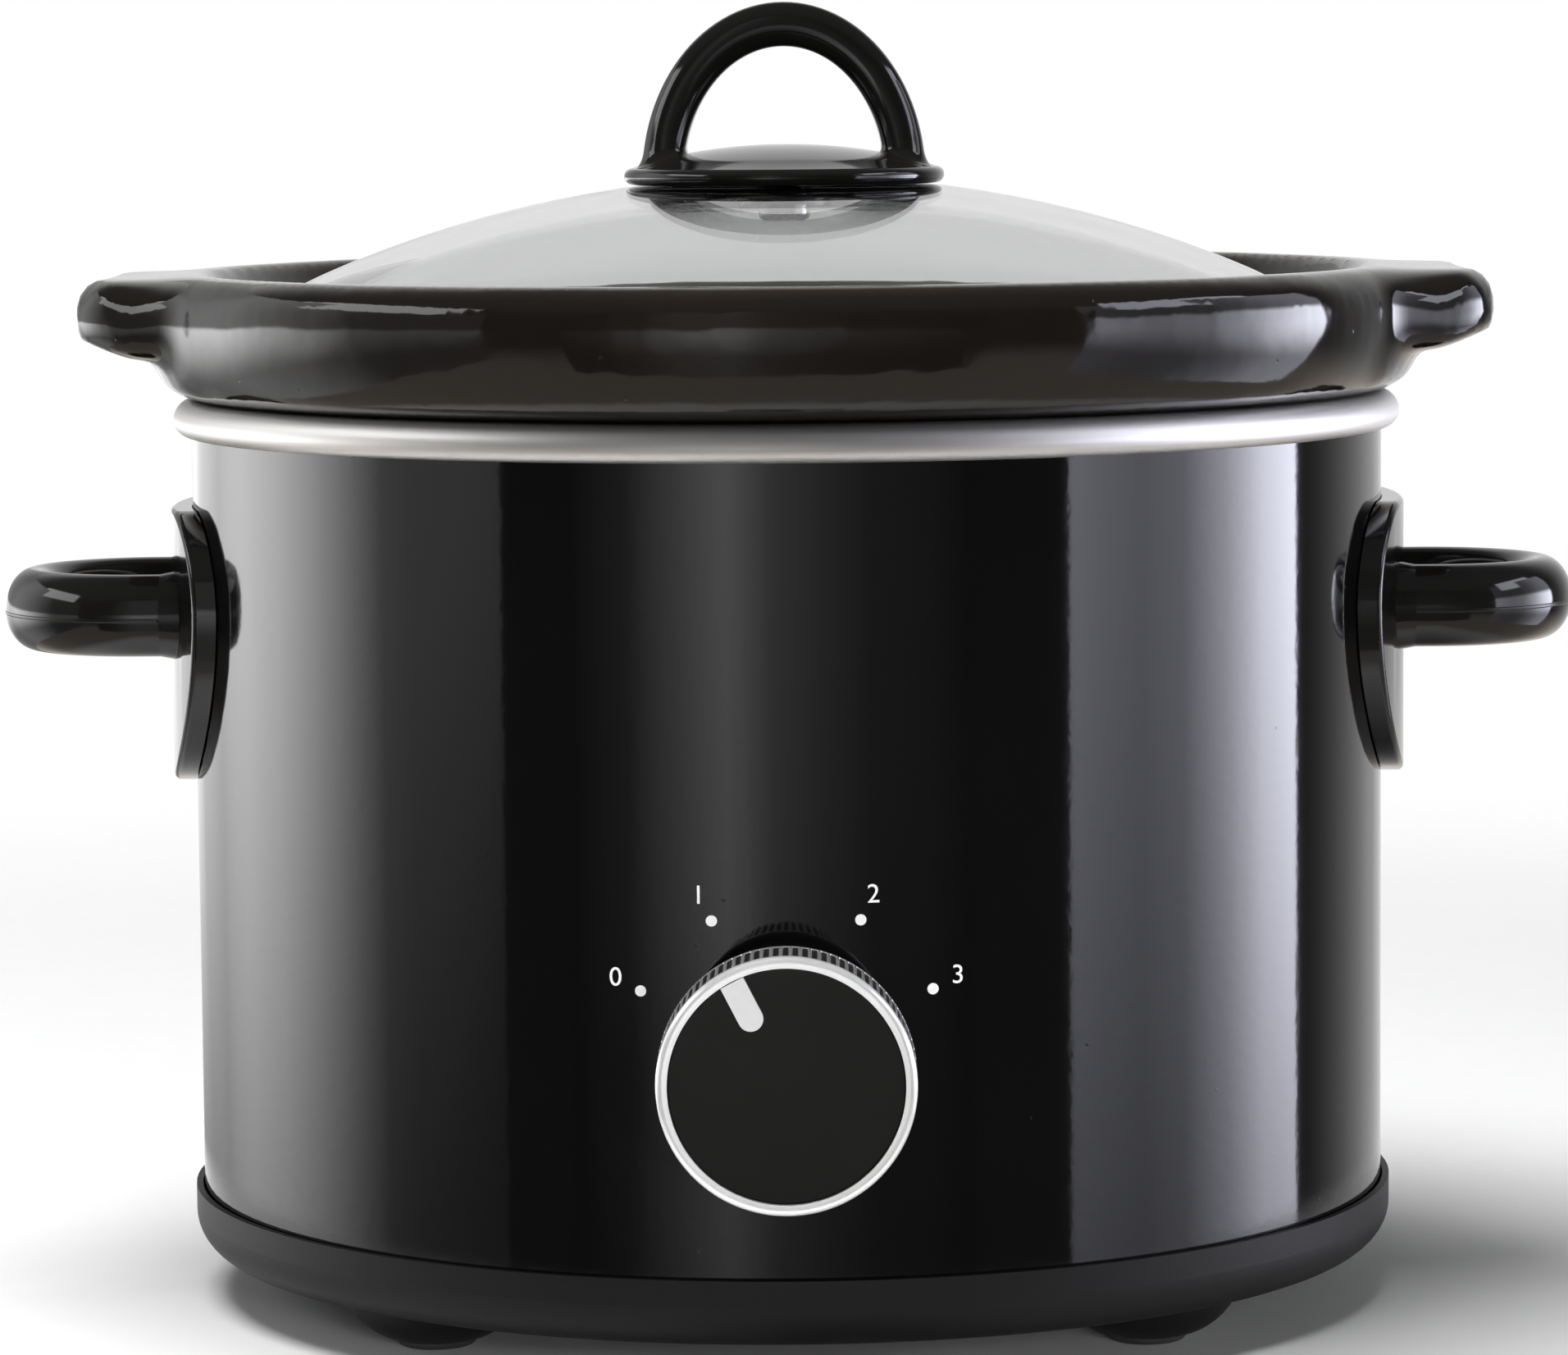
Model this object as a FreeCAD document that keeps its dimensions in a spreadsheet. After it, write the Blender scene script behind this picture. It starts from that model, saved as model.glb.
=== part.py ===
import FreeCAD, Part
import math
import os
import re
import Sketcher

# A round two-quart slow cooker, in millimetres. The axis of the pot is Z, the floor
# is z = 0, the dial faces -Y and the side handles lie along X.

DIMENSIONS = {
    # painted wrap
    "shell_radius": 101.0,
    "shell_wall": 0.8,
    "seam_width": 5.0,
    "seam_rise": 0.4,
    "seam_azimuth": 104.0,
    "seam_margin": 0.8,
    # general clearances
    "seat_gap": 0.2,
    "slip_gap": 0.3,
    "running_gap": 0.08,
    # moulded base
    "ring_wall": 1.1,
    "ring_top": 18.5,
    "ledge_height": 15.0,
    "base_floor": 7.2,
    "base_wall": 2.4,
    "under_round": 7.0,
    "rim_wall": 1.5,
    "rim_rise": 5.0,
    "inner_round": 3.2,
    "recess_radius": 10.5,
    "recess_depth": 6.0,
    "recess_draft": 0.6,
    "rib_count": 8,
    "rib_width": 1.6,
    "rib_height": 4.0,
    "rib_start": 14.0,
    "rib_margin": 4.5,
    # feet
    "foot_inset": 19.0,
    "foot_count": 4,
    "blister_radius": 15.5,
    "blister_flat": 7.6,
    "blister_bottom": 1.4,
    "blister_round": 12.0,
    "pad_radius": 6.7,
    "pad_edge": 1.5,
    "pad_recess": 0.6,
    "stem_radius": 2.2,
    "stem_head": 3.0,
    "stem_tip": 1.6,
    "stem_head_height": 2.1,
    # heating well
    "well_floor": 56.0,
    "well_wall": 1.0,
    "well_inset": 7.2,
    "well_taper": 9.8,
    "well_corner": 12.0,
    "well_flare": 2.5,
    "bead_top": 152.3,
    "bead_overhang": 3.0,
    "bead_roll": 3.4,
    "bead_curl": 2.6,
    # crock
    "crock_rise": 21.3,
    "crock_wall": 8.0,
    "crock_floor": 8.0,
    "crock_clearance": 1.8,
    "crock_under_gap": 2.0,
    "crock_corner": 13.0,
    "crock_foot_width": 9.0,
    "crock_foot_rise": 1.2,
    "crock_inner_corner": 16.0,
    "band_foot_inset": 4.0,
    "band_foot_round": 5.0,
    "band_foot_turn": 60.0,
    "band_round": 24.0,
    "lip_overhang": 3.6,
    "lip_width": 10.6,
    "lip_outer_round": 5.2,
    "lip_inner_round": 2.0,
    "ledge_inset": 4.6,
    "ledge_round": 2.4,
    # crock ears
    "ear_overhang": 12.6,
    "ear_overlap": 3.0,
    "ear_root_share": 0.8,
    "ear_tip_share": 0.52,
    "ear_thickness": 7.0,
    "ear_slope": 20.0,
    "ear_flare": 4.0,
    "ear_sink": 1.0,
    "ear_drop": 0.6,
    "ear_corner": 14.0,
    "ear_edge": 2.9,
    # lid
    "lid_clearance": 1.6,
    "lid_sink": 4.2,
    "lid_wall": 3.6,
    "lid_brim": 6.3,
    "dome_shoulder": 0.9,
    "dome_rise": 18.7,
    "lid_hole": 3.4,
    # lid handle
    "flange_radius": 27.2,
    "flange_edge": 1.4,
    "disc_radius": 22.5,
    "disc_rise": 1.2,
    "crown_rise": 5.3,
    "arch_rise": 29.3,
    "arch_half": 22.4,
    "arch_bar": 7.0,
    "arch_splay": 1.6,
    "arch_depth": 13.0,
    "arch_corner": 2.8,
    "arch_foot_depth": 17.0,
    "arch_foot_width": 9.0,
    "arch_foot_sink": 1.8,
    "gasket_inner": 6.0,
    "gasket_outer": 14.0,
    "gasket_recess": 1.6,
    "lid_screw_radius": 2.0,
    "lid_screw_head": 4.4,
    "lid_screw_head_height": 2.6,
    "lid_screw_bite": 2.2,
    "lid_washer_radius": 8.0,
    "lid_washer_wall": 1.0,
    # side handles
    "plate_above": 17.7,
    "plate_below": 29.5,
    "plate_wall": 3.6,
    "plate_half": 36.8,
    "plate_shoulder": 1.5,
    "plate_base_round": 60.0,
    "plate_edge": 1.0,
    "loop_share": 0.628,
    "loop_overhang": 32.8,
    "loop_bar_wide": 10.4,
    "loop_bar_tall": 13.8,
    "leg_spacing": 39.0,
    "collar_step": 1.1,
    "collar_wall": 2.2,
    "post_radius": 4.0,
    "handle_screw_radius": 2.0,
    "handle_screw_length": 16.0,
    "handle_screw_head": 4.0,
    "handle_screw_head_height": 2.4,
    "handle_washer_radius": 6.5,
    "handle_washer_wall": 1.0,
    # dial knob
    "dial_drop": 3.7,
    "pointer_angle": 27.0,
    "knob_lift": 1.2,
    "skirt_step": 0.5,
    "skirt_wall": 2.0,
    "knob_step": 8.0,
    "knob_web": 2.6,
    "knob_face_height": 19.5,
    "face_radius": 18.2,
    "face_wall": 2.0,
    "bezel_wall": 1.9,
    "bezel_proud": 0.9,
    "bezel_lip": 1.2,
    "knurl_count": 84,
    "knurl_radius": 0.55,
    "knurl_depth": 0.38,
    "knurl_land": 1.3,
    "pointer_width": 3.9,
    "pointer_start": 9.9,
    "pointer_rise": 0.8,
    "pointer_sink": 0.8,
    "boss_radius": 5.6,
    "boss_bottom": 4.2,
    "clip_wall": 0.6,
    "clip_width": 3.0,
    "clip_opening": 50.0,
    "clip_height": 7.0,
    # rotary switch
    "shaft_radius": 3.0,
    "shaft_flat": 1.6,
    "shaft_cover": 2.5,
    "bushing_radius": 4.5,
    "bushing_end": 3.6,
    "bushing_shoulder": 6.5,
    "switch_width": 26.0,
    "switch_tall": 24.0,
    "switch_depth": 12.0,
    "shaft_inside": 9.0,
    "switch_round": 2.0,
    "switch_nut_across": 14.0,
    "switch_nut_height": 2.4,
    "tab_width": 6.3,
    "tab_wall": 0.8,
    "tab_length": 8.0,
    "tab_pitch": 8.4,
    "tab_drop": 6.3,
    # element and its strap
    "band_lift": 3.0,
    "band_margin": 2.0,
    "band_wall": 3.0,
    "band_opening": 24.0,
    "strap_tall": 12.0,
    "strap_wall": 0.8,
    "strap_opening": 6.0,
    "strap_ear": 6.4,
    "strap_screw_radius": 1.5,
    "strap_screw_head": 2.8,
    "strap_screw_head_height": 1.8,
    "strap_nut_across": 5.5,
    "strap_nut_height": 2.4,
    # stud under the well
    "stud_radius": 2.5,
    "stud_flange": 6.0,
    "stud_flange_wall": 1.2,
    "stud_tail": 1.2,
    "stud_nut_across": 8.0,
    "stud_nut_height": 3.6,
    "stud_washer_radius": 7.5,
    "stud_washer_wall": 1.2,
    # over-temperature fuse
    "fuse_radius": 2.0,
    "fuse_length": 11.0,
    "fuse_share": 0.4,
    "fuse_clip_wall": 0.6,
    "fuse_clip_width": 6.0,
    "fuse_clip_ear": 5.0,
    # inner leads
    "lead_radius": 1.2,
    "lead_bend": 5.0,
    "lead_side": 24.0,
    "lead_setback": 8.0,
    # cord inlet
    "gland_height": 33.0,
    "gland_bore": 3.7,
    "gland_radius": 6.0,
    "gland_flange": 8.5,
    "gland_flange_wall": 3.6,
    "gland_edge": 1.4,
    "gland_length": 12.0,
    "gland_nut_across": 17.0,
    "gland_nut_height": 3.0,
}

# Sizes that follow from the ones above, so that pieces which meet keep their fit

FOLLOWING = {
    "ring_radius": "shell_radius + slip_gap + ring_wall",
    "foot_circle": "shell_radius - foot_inset",
    "rib_end": "foot_circle - blister_radius - rib_margin",
    "well_top_radius": "shell_radius - well_inset",
    "well_bottom_radius": "well_top_radius - well_taper",
    "bead_radius": "shell_radius + bead_overhang",
    "crock_top": "bead_top + crock_rise",
    "band_foot_radius": "bead_radius - band_foot_inset",
    "lip_radius": "bead_radius + lip_overhang",
    "lip_mouth": "lip_radius - lip_width",
    "ledge_radius": "lip_mouth - ledge_inset",
    "ear_reach": "lip_radius + ear_overhang",
    "ear_root": "lip_mouth - ear_overlap",
    "ear_root_width": "ear_root_share * lip_radius",
    "ear_tip_width": "ear_tip_share * lip_radius",
    "ear_top": "crock_top - ear_drop",
    "ear_bottom": "ear_top - ear_thickness",
    "lid_radius": "ledge_radius - lid_clearance",
    "lid_edge_top": "crock_top - lid_sink",
    "lid_apex": "lid_edge_top + dome_shoulder + dome_rise",
    "dome_edge": "lid_radius - lid_brim",
    "dome_radius": "(dome_edge^2 + dome_rise^2) / (2 * dome_rise)",
    "disc_crown": "lid_apex + crown_rise",
    "arch_top": "lid_apex + arch_rise",
    "loop_height": "well_floor + loop_share * (bead_top - well_floor)",
    "loop_reach": "shell_radius + loop_overhang",
    "plate_top": "loop_height + plate_above",
    "plate_bottom": "loop_height - plate_below",
    "plate_widest": "loop_height + plate_shoulder",
    "dial_height": "well_floor - dial_drop",
    "skirt_radius": "face_radius + skirt_step",
    "bezel_radius": "face_radius + bezel_wall",
    "bezel_height": "knob_face_height + bezel_proud",
    "shaft_end": "knob_face_height - face_wall - shaft_cover",
    "band_bottom": "well_floor + well_corner + band_lift",
    "band_top": "loop_height - handle_washer_radius - band_margin",
    "band_tall": "band_top - band_bottom",
    "strap_bottom": "(band_top + band_bottom - strap_tall) / 2",
    "fuse_place": "fuse_share * shell_radius",
}

doc = FreeCAD.newDocument("slow_cooker")
sheet = doc.addObject("Spreadsheet::Sheet", "dims")
for row, (alias, number) in enumerate(DIMENSIONS.items(), 1):
    sheet.set(f"A{row}", alias)
    sheet.set(f"B{row}", str(number))
    sheet.setAlias(f"B{row}", alias)
doc.recompute()

pieces = []


# Small tools for drawing with named sizes

def linked(expression):
    """Write each named size in an expression as a reference to the sheet, or as what it follows from."""
    def refer(word):
        if word[0] in FOLLOWING:
            return f"({linked(FOLLOWING[word[0]])})"
        return f"dims.{word[0]}" if word[0] in DIMENSIONS else word[0]
    return re.sub(r"[a-z_]+", refer, str(expression))


def value(expression):
    """Work an expression out to a number."""
    return float(sheet.evalExpression(linked(expression)))


def bind(item, **sizes):
    """Tie properties of an item to expressions; two underscores stand for a dot."""
    for name, expression in sizes.items():
        item.setExpression(name.replace("__", "."), linked(expression))
    return item


def piece(item, label):
    """Name a finished sub-part and put it on the list to be written."""
    item.Label = label
    pieces.append(item)
    return item


def solid_of(kind, name, **sizes):
    """Add a primitive whose sizes follow the sheet."""
    return bind(doc.addObject(kind, name), **sizes)


def moved(item, x="0", y="0", z="0", axis=(0, 0, 1), angle=0.0):
    """Turn an item about an axis through its origin and set it down at a place."""
    item.Placement = FreeCAD.Placement(FreeCAD.Vector(), FreeCAD.Rotation(FreeCAD.Vector(*axis), angle))
    return bind(item, Placement__Base__x=x, Placement__Base__y=y, Placement__Base__z=z)


def cut(name, base, tool):
    item = doc.addObject("Part::Cut", name)
    item.Base = base
    item.Tool = tool
    return item


def fused(name, *shapes):
    item = doc.addObject("Part::MultiFuse", name)
    item.Shapes = list(shapes)
    return item


def grouped(name, shapes):
    item = doc.addObject("Part::Compound", name)
    item.Links = shapes
    return item


def new_body(name):
    return doc.addObject("PartDesign::Body", name)


def origin(body, role):
    return next(item for item in body.Origin.OriginFeatures if item.Role == role)


def new_sketch(body, name, plane, lift=None, turn=0.0):
    """A sketch on one of the body's own planes, lifted off it, or turned about its upright."""
    sketch = body.newObject("Sketcher::SketchObject", name)
    sketch.AttachmentSupport = (origin(body, plane), [""])
    sketch.MapMode = "FlatFace"
    if turn:
        upright = FreeCAD.Rotation(FreeCAD.Vector(0, 1, 0), turn)
        sketch.AttachmentOffset = FreeCAD.Placement(FreeCAD.Vector(), upright)
    if lift is not None:
        bind(sketch, AttachmentOffset__Base__z=lift)
    return sketch


def pin(sketch, edge, end, x, y):
    """Hold one end of an edge at a place given by two expressions."""
    for kind, axis, expression in (("DistanceX", -2, x), ("DistanceY", -1, y)):
        if str(expression) == "0":
            sketch.addConstraint(Sketcher.Constraint("PointOnObject", edge, end, axis))
            continue
        index = sketch.addConstraint(Sketcher.Constraint(kind, edge, end, value(expression)))
        sketch.setExpression(f"Constraints[{index}]", linked(expression))


def arc_between(start, end, radius, left):
    """The shorter arc from start to end, bending left or right."""
    chord = end - start
    reach = math.sqrt(max(radius ** 2 - chord.Length ** 2 / 4, 0.0))
    side = FreeCAD.Vector(-chord.y, chord.x, 0).normalize()
    centre = (start + end) / 2 + side * (reach if left else -reach)
    first, last = (start, end) if left else (end, start)
    angles = [math.atan2(p.y - centre.y, p.x - centre.x) for p in (first, last)]
    return Part.ArcOfCircle(Part.Circle(centre, FreeCAD.Vector(0, 0, 1), radius), *angles)


def outline(sketch, *corners):
    """Draw a closed outline through corners (x, y). A corner (x, y, radius, "left" or "right")
    is reached by an arc of that radius, which bends that way."""
    places = [FreeCAD.Vector(value(c[0]), value(c[1]), 0) for c in corners]
    count = len(corners)
    begin_of = []
    end_of = []
    first_edge = sketch.GeometryCount
    for i in range(count):
        target = corners[(i + 1) % count]
        start, end = places[i], places[(i + 1) % count]
        if len(target) == 2:
            sketch.addGeometry(Part.LineSegment(start, end))
            begin_of.append(1)
            end_of.append(2)
            continue
        left = target[3] == "left"
        edge = sketch.addGeometry(arc_between(start, end, value(target[2]), left))
        begin_of.append(1 if left else 2)
        end_of.append(2 if left else 1)
        index = sketch.addConstraint(Sketcher.Constraint("Radius", edge, value(target[2])))
        sketch.setExpression(f"Constraints[{index}]", linked(target[2]))
    for i in range(count):
        following = (i + 1) % count
        sketch.addConstraint(Sketcher.Constraint(
            "Coincident", first_edge + i, end_of[i], first_edge + following, begin_of[following]))
        pin(sketch, first_edge + i, begin_of[i], corners[i][0], corners[i][1])
    return sketch


def circle(sketch, x, y, radius):
    centre = FreeCAD.Vector(value(x), value(y), 0)
    edge = sketch.addGeometry(Part.Circle(centre, FreeCAD.Vector(0, 0, 1), value(radius)))
    index = sketch.addConstraint(Sketcher.Constraint("Radius", edge, value(radius)))
    sketch.setExpression(f"Constraints[{index}]", linked(radius))
    pin(sketch, edge, 3, x, y)
    return sketch


def rectangle(sketch, x, y, width, tall):
    """A rectangle about a centre."""
    west, east = f"{x} - ({width}) / 2", f"{x} + ({width}) / 2"
    south, north = f"{y} - ({tall}) / 2", f"{y} + ({tall}) / 2"
    return outline(sketch, (west, south), (east, south), (east, north), (west, north))


def rounded_rectangle(sketch, x, y, width, tall, corner):
    """A rectangle about a centre, with round corners."""
    west, east = f"{x} - ({width}) / 2", f"{x} + ({width}) / 2"
    south, north = f"{y} - ({tall}) / 2", f"{y} + ({tall}) / 2"
    return outline(
        sketch,
        (f"{west} + {corner}", south, corner, "left"), (f"{east} - {corner}", south),
        (east, f"{south} + {corner}", corner, "left"), (east, f"{north} - {corner}"),
        (f"{east} - {corner}", north, corner, "left"), (f"{west} + {corner}", north),
        (west, f"{north} - {corner}", corner, "left"), (west, f"{south} + {corner}"))


def ellipse(sketch, x, y, half_x, half_y):
    """An upright ellipse about a centre, taller than it is wide."""
    centre = FreeCAD.Vector(value(x), value(y), 0)
    top = centre + FreeCAD.Vector(0, value(half_y), 0)
    side = centre + FreeCAD.Vector(value(half_x), 0, 0)
    edge = sketch.addGeometry(Part.Ellipse(top, side, centre))
    sketch.exposeInternalGeometry(edge)
    pin(sketch, edge, 3, x, y)
    major, minor = edge + 1, edge + 2
    sketch.addConstraint(Sketcher.Constraint("Vertical", major))
    for axis, half in ((major, half_y), (minor, half_x)):
        index = sketch.addConstraint(Sketcher.Constraint("Distance", axis, 1, axis, 2, 2 * value(half)))
        sketch.setExpression(f"Constraints[{index}]", linked(f"2 * ({half})"))
    return sketch


def axis_at(sketch, x):
    """An upright construction line, for turning a profile about an axis beside the origin."""
    foot, head = FreeCAD.Vector(value(x), 0, 0), FreeCAD.Vector(value(x), 1, 0)
    line = sketch.addGeometry(Part.LineSegment(foot, head), True)
    sketch.addConstraint(Sketcher.Constraint("Vertical", line))
    pin(sketch, line, 1, x, "0")
    index = sketch.addConstraint(Sketcher.Constraint("DistanceY", line, 1, line, 2, 1.0))
    sketch.setDriving(index, True)
    return sketch


def feature(body, kind, name, sketch, **settings):
    """Add a sketch-based feature to a body and work it out."""
    item = body.newObject(f"PartDesign::{kind}", name)
    item.Profile = sketch
    for setting, amount in settings.items():
        setattr(item, setting, amount)
    return item


def revolved(body, name, sketch, axis="V_Axis", kind="Revolution", angle=360.0, **settings):
    return feature(body, kind, name, sketch, ReferenceAxis=(sketch, [axis]), Angle=angle, **settings)


def padded(body, name, sketch, length, **settings):
    return bind(feature(body, "Pad", name, sketch, **settings), Length=length)


def pocketed(body, name, sketch, length, **settings):
    """Cut a sketch into a body, and make sure that it removes something."""
    doc.recompute()
    before = body.Shape.Volume
    item = bind(feature(body, "Pocket", name, sketch, **settings), Length=length)
    doc.recompute()
    if body.Shape.Volume >= before:
        raise ValueError(f"{name} cuts nothing")
    return item


def patterned(body, name, originals, count):
    """Repeat features round the body's Z axis."""
    item = body.newObject("PartDesign::PolarPattern", name)
    item.Originals = originals
    item.Axis = (origin(body, "Z_Axis"), [""])
    item.Angle = 360.0
    bind(item, Occurrences=count)
    body.Tip = item
    return item


def turned(name, *corners):
    """A body turned about Z from one profile of (radius, height) corners."""
    body = new_body(name)
    sketch = outline(new_sketch(body, f"{name}_profile", "XZ_Plane"), *corners)
    revolved(body, f"{name}_turn", sketch)
    return body


def edges_where(shape, test):
    return [f"Edge{i}" for i, edge in enumerate(shape.Edges, 1) if test(edge)]


def filleted(body, name, radius, test):
    """Round the edges of a body's last feature that pass a test."""
    doc.recompute()
    base = body.Tip
    item = body.newObject("PartDesign::Fillet", name)
    item.Base = (base, edges_where(base.Shape, test))
    return bind(item, Radius=radius)


def hex_nut(name, across, height, bore):
    """A plain hexagon nut standing on z = 0, with a clearance bore."""
    block = solid_of("Part::Prism", f"{name}_block", Circumradius=f"{across} / 2 / cos(30)", Height=height)
    block.Polygon = 6
    hole = solid_of("Part::Cylinder", f"{name}_bore", Radius=bore, Height=height)
    return cut(name, block, hole)


def ring(name, outer, inner, height):
    """A flat washer standing on z = 0."""
    disc = solid_of("Part::Cylinder", f"{name}_disc", Radius=outer, Height=height)
    hole = solid_of("Part::Cylinder", f"{name}_hole", Radius=inner, Height=height)
    return cut(name, disc, hole)


def headed_screw(name, radius, length, head, head_height):
    """A screw along Z: the head's seat is z = 0, the head lies below and the shank above."""
    return turned(
        name,
        ("0", f"-{head_height}"), (f"{head} - {head_height} / 2", f"-{head_height}"),
        (head, f"-{head_height} / 2", f"{head_height} / 2", "left"), (head, "0"),
        (radius, "0"), (radius, f"{length} - {radius} / 2"),
        (f"{radius} / 2", length), ("0", length))


# Heights and radii that several pieces share

SHELL_INSIDE = "(shell_radius - shell_wall)"
SHELL_TOP = "(bead_top - well_wall - seat_gap)"
BEAD_BOTTOM = "(bead_top - bead_roll - bead_curl)"
BASE_TOP = "(base_floor + base_wall)"
RECESS_TOP = "(base_floor + recess_depth)"
FLARE_START = "(bead_top - well_flare)"
WELL_CORNER_TOP = "(well_floor + well_corner)"
WELL_SLOPE = f"((well_top_radius - well_bottom_radius) / ({FLARE_START} - {WELL_CORNER_TOP}))"
CROCK_SEAT = "(bead_top + seat_gap)"
CROCK_BOTTOM = "(well_floor + crock_under_gap)"
LID_SEAT = "(lid_edge_top - lid_wall)"
CROCK_LEDGE = f"({LID_SEAT} - seat_gap)"
LEG_OUT = "(leg_spacing / 2)"
PLATE_INSIDE = "(shell_radius + seat_gap)"
PLATE_OUTSIDE = f"({PLATE_INSIDE} + plate_wall)"
LOOP_CENTRE = f"(loop_reach - loop_bar_wide / 2 - {LEG_OUT})"
WASHER_REACH = f"({LEG_OUT} + handle_washer_radius)"
LEG_ROOT = f"(sqrt({PLATE_INSIDE}^2 - ({LEG_OUT} - loop_bar_wide / 2 - collar_step)^2) + seat_gap)"
POST_END = f"(sqrt({SHELL_INSIDE}^2 - {WASHER_REACH}^2) - seat_gap)"
SWITCH_FRONT = f"(shell_radius - sqrt({SHELL_INSIDE}^2 - (switch_width / 2)^2) + seat_gap)"
GASKET_TOP = "(lid_apex + gasket_recess)"
LID_SCREW_TIP = f"({GASKET_TOP} + lid_screw_bite)"
FUSE_HEIGHT = "(well_floor - well_wall - seat_gap - fuse_radius)"
SHAFT_TAIL = f"({SWITCH_FRONT} + shaft_inside)"
SHAFT_FLAT_START = "(boss_bottom - seat_gap)"
TAB_HEIGHT = "(dial_height - tab_drop)"
TAB_TIP = f"(shell_radius - {SWITCH_FRONT} - switch_depth - tab_length)"


def well_outside(height):
    """The outside radius of the well's tapered wall at a height."""
    return f"(well_bottom_radius + well_wall + ({height} - {WELL_CORNER_TOP}) * {WELL_SLOPE})"


def crock_outside(height):
    """The outside radius of the crock's wall, which follows the well's taper."""
    return f"({well_outside(height)} - well_wall - crock_clearance)"


def dome_height(radius, sphere):
    """The height of a sphere about the dome's centre, at a radius from the axis."""
    return f"(lid_apex - dome_radius + sqrt(({sphere})^2 - ({radius})^2))"


GLASS_UNDERSIDE = dome_height("lid_washer_radius", "(dome_radius - lid_wall)")
LID_SCREW_SEAT = f"({GLASS_UNDERSIDE} - seat_gap - lid_washer_wall)"


# Base, feet and wrap

def base_pan():
    """The moulded base: a dish with a groove for the wrap, four blister feet and ribs."""
    body = new_body("base_pan_body")
    groove_inside = f"{SHELL_INSIDE} - slip_gap"
    rim_inside = f"{groove_inside} - rim_wall"
    dish = outline(
        new_sketch(body, "dish", "XZ_Plane"),
        ("stud_radius + slip_gap", RECESS_TOP),
        ("recess_radius", RECESS_TOP),
        ("recess_radius + recess_draft", "base_floor"),
        ("ring_radius - under_round", "base_floor"),
        ("ring_radius", "base_floor + under_round", "under_round", "left"),
        ("ring_radius", "ring_top"),
        ("shell_radius + slip_gap", "ring_top"),
        ("shell_radius + slip_gap", "ledge_height"),
        (groove_inside, "ledge_height"),
        (groove_inside, "ledge_height + rim_rise"),
        (rim_inside, "ledge_height + rim_rise"),
        (rim_inside, f"{BASE_TOP} + inner_round"),
        (f"{rim_inside} - inner_round", BASE_TOP, "inner_round", "right"),
        ("recess_radius + base_wall + recess_draft", BASE_TOP),
        ("recess_radius + base_wall", f"{RECESS_TOP} + base_wall"),
        ("stud_radius + slip_gap", f"{RECESS_TOP} + base_wall"))
    revolved(body, "dish_turn", dish)
    blister = outline(
        new_sketch(body, "blister", "XZ_Plane"),
        ("foot_circle", "blister_bottom"),
        ("foot_circle + blister_flat", "blister_bottom"),
        ("foot_circle + blister_radius", BASE_TOP, "blister_round", "left"),
        ("foot_circle", BASE_TOP))
    swell = revolved(body, "blister_turn", axis_at(blister, "foot_circle"), axis="Axis0")
    patterned(body, "blisters", [swell], "foot_count")
    hollow = outline(
        new_sketch(body, "blister_hollow", "XZ_Plane"),
        ("foot_circle", "blister_bottom + base_wall"),
        ("foot_circle + blister_flat - base_wall / 2", "blister_bottom + base_wall"),
        ("foot_circle + blister_radius - base_wall", BASE_TOP, "blister_round - base_wall", "left"),
        ("foot_circle", BASE_TOP))
    scoop = revolved(body, "hollow_turn", axis_at(hollow, "foot_circle"), axis="Axis0", kind="Groove")
    patterned(body, "hollows", [scoop], "foot_count")
    recess = circle(new_sketch(body, "pad_recess", "XY_Plane", lift="blister_bottom"),
                    "foot_circle", "0", "pad_radius + slip_gap")
    seat = pocketed(body, "pad_seat", recess, "pad_recess", Reversed=True)
    patterned(body, "pad_seats", [seat], "foot_count")
    stem = circle(new_sketch(body, "stem_hole", "XY_Plane", lift="blister_bottom"),
                  "foot_circle", "0", "stem_radius + seat_gap")
    hole = pocketed(body, "stem_hole_cut", stem, "2 * base_wall", Reversed=True)
    patterned(body, "stem_holes", [hole], "foot_count")
    rib = rectangle(new_sketch(body, "rib", "XY_Plane", lift=BASE_TOP),
                    "(rib_start + rib_end) / 2", "0", "rib_end - rib_start", "rib_width")
    web = padded(body, "rib_pad", rib, "rib_height")
    patterned(body, "ribs", [web], "rib_count")
    body.Placement = FreeCAD.Placement(
        FreeCAD.Vector(), FreeCAD.Rotation(FreeCAD.Vector(0, 0, 1), 180.0 / value("foot_count")))
    piece(body, "base_pan")


def feet():
    """Rubber pads with a push-in stem, one under each blister."""
    quarter = 360.0 / value("foot_count")
    for turn, name in enumerate(("rear_right", "rear_left", "front_left", "front_right")):
        top = "blister_bottom + pad_recess"
        neck = "blister_bottom + base_wall + seat_gap"
        foot = turned(
            f"foot_{name}_body",
            ("0", "0"), ("pad_radius - pad_edge", "0"),
            ("pad_radius", "pad_edge", "pad_edge", "left"), ("pad_radius", top),
            ("stem_radius", top), ("stem_radius", neck), ("stem_head", neck),
            ("stem_tip", f"{neck} + stem_head_height"), ("0", f"{neck} + stem_head_height"))
        angle = quarter * (turn + 0.5)
        moved(foot, f"foot_circle * cos({angle})", f"foot_circle * sin({angle})")
        piece(foot, f"foot_{name}")


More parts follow.
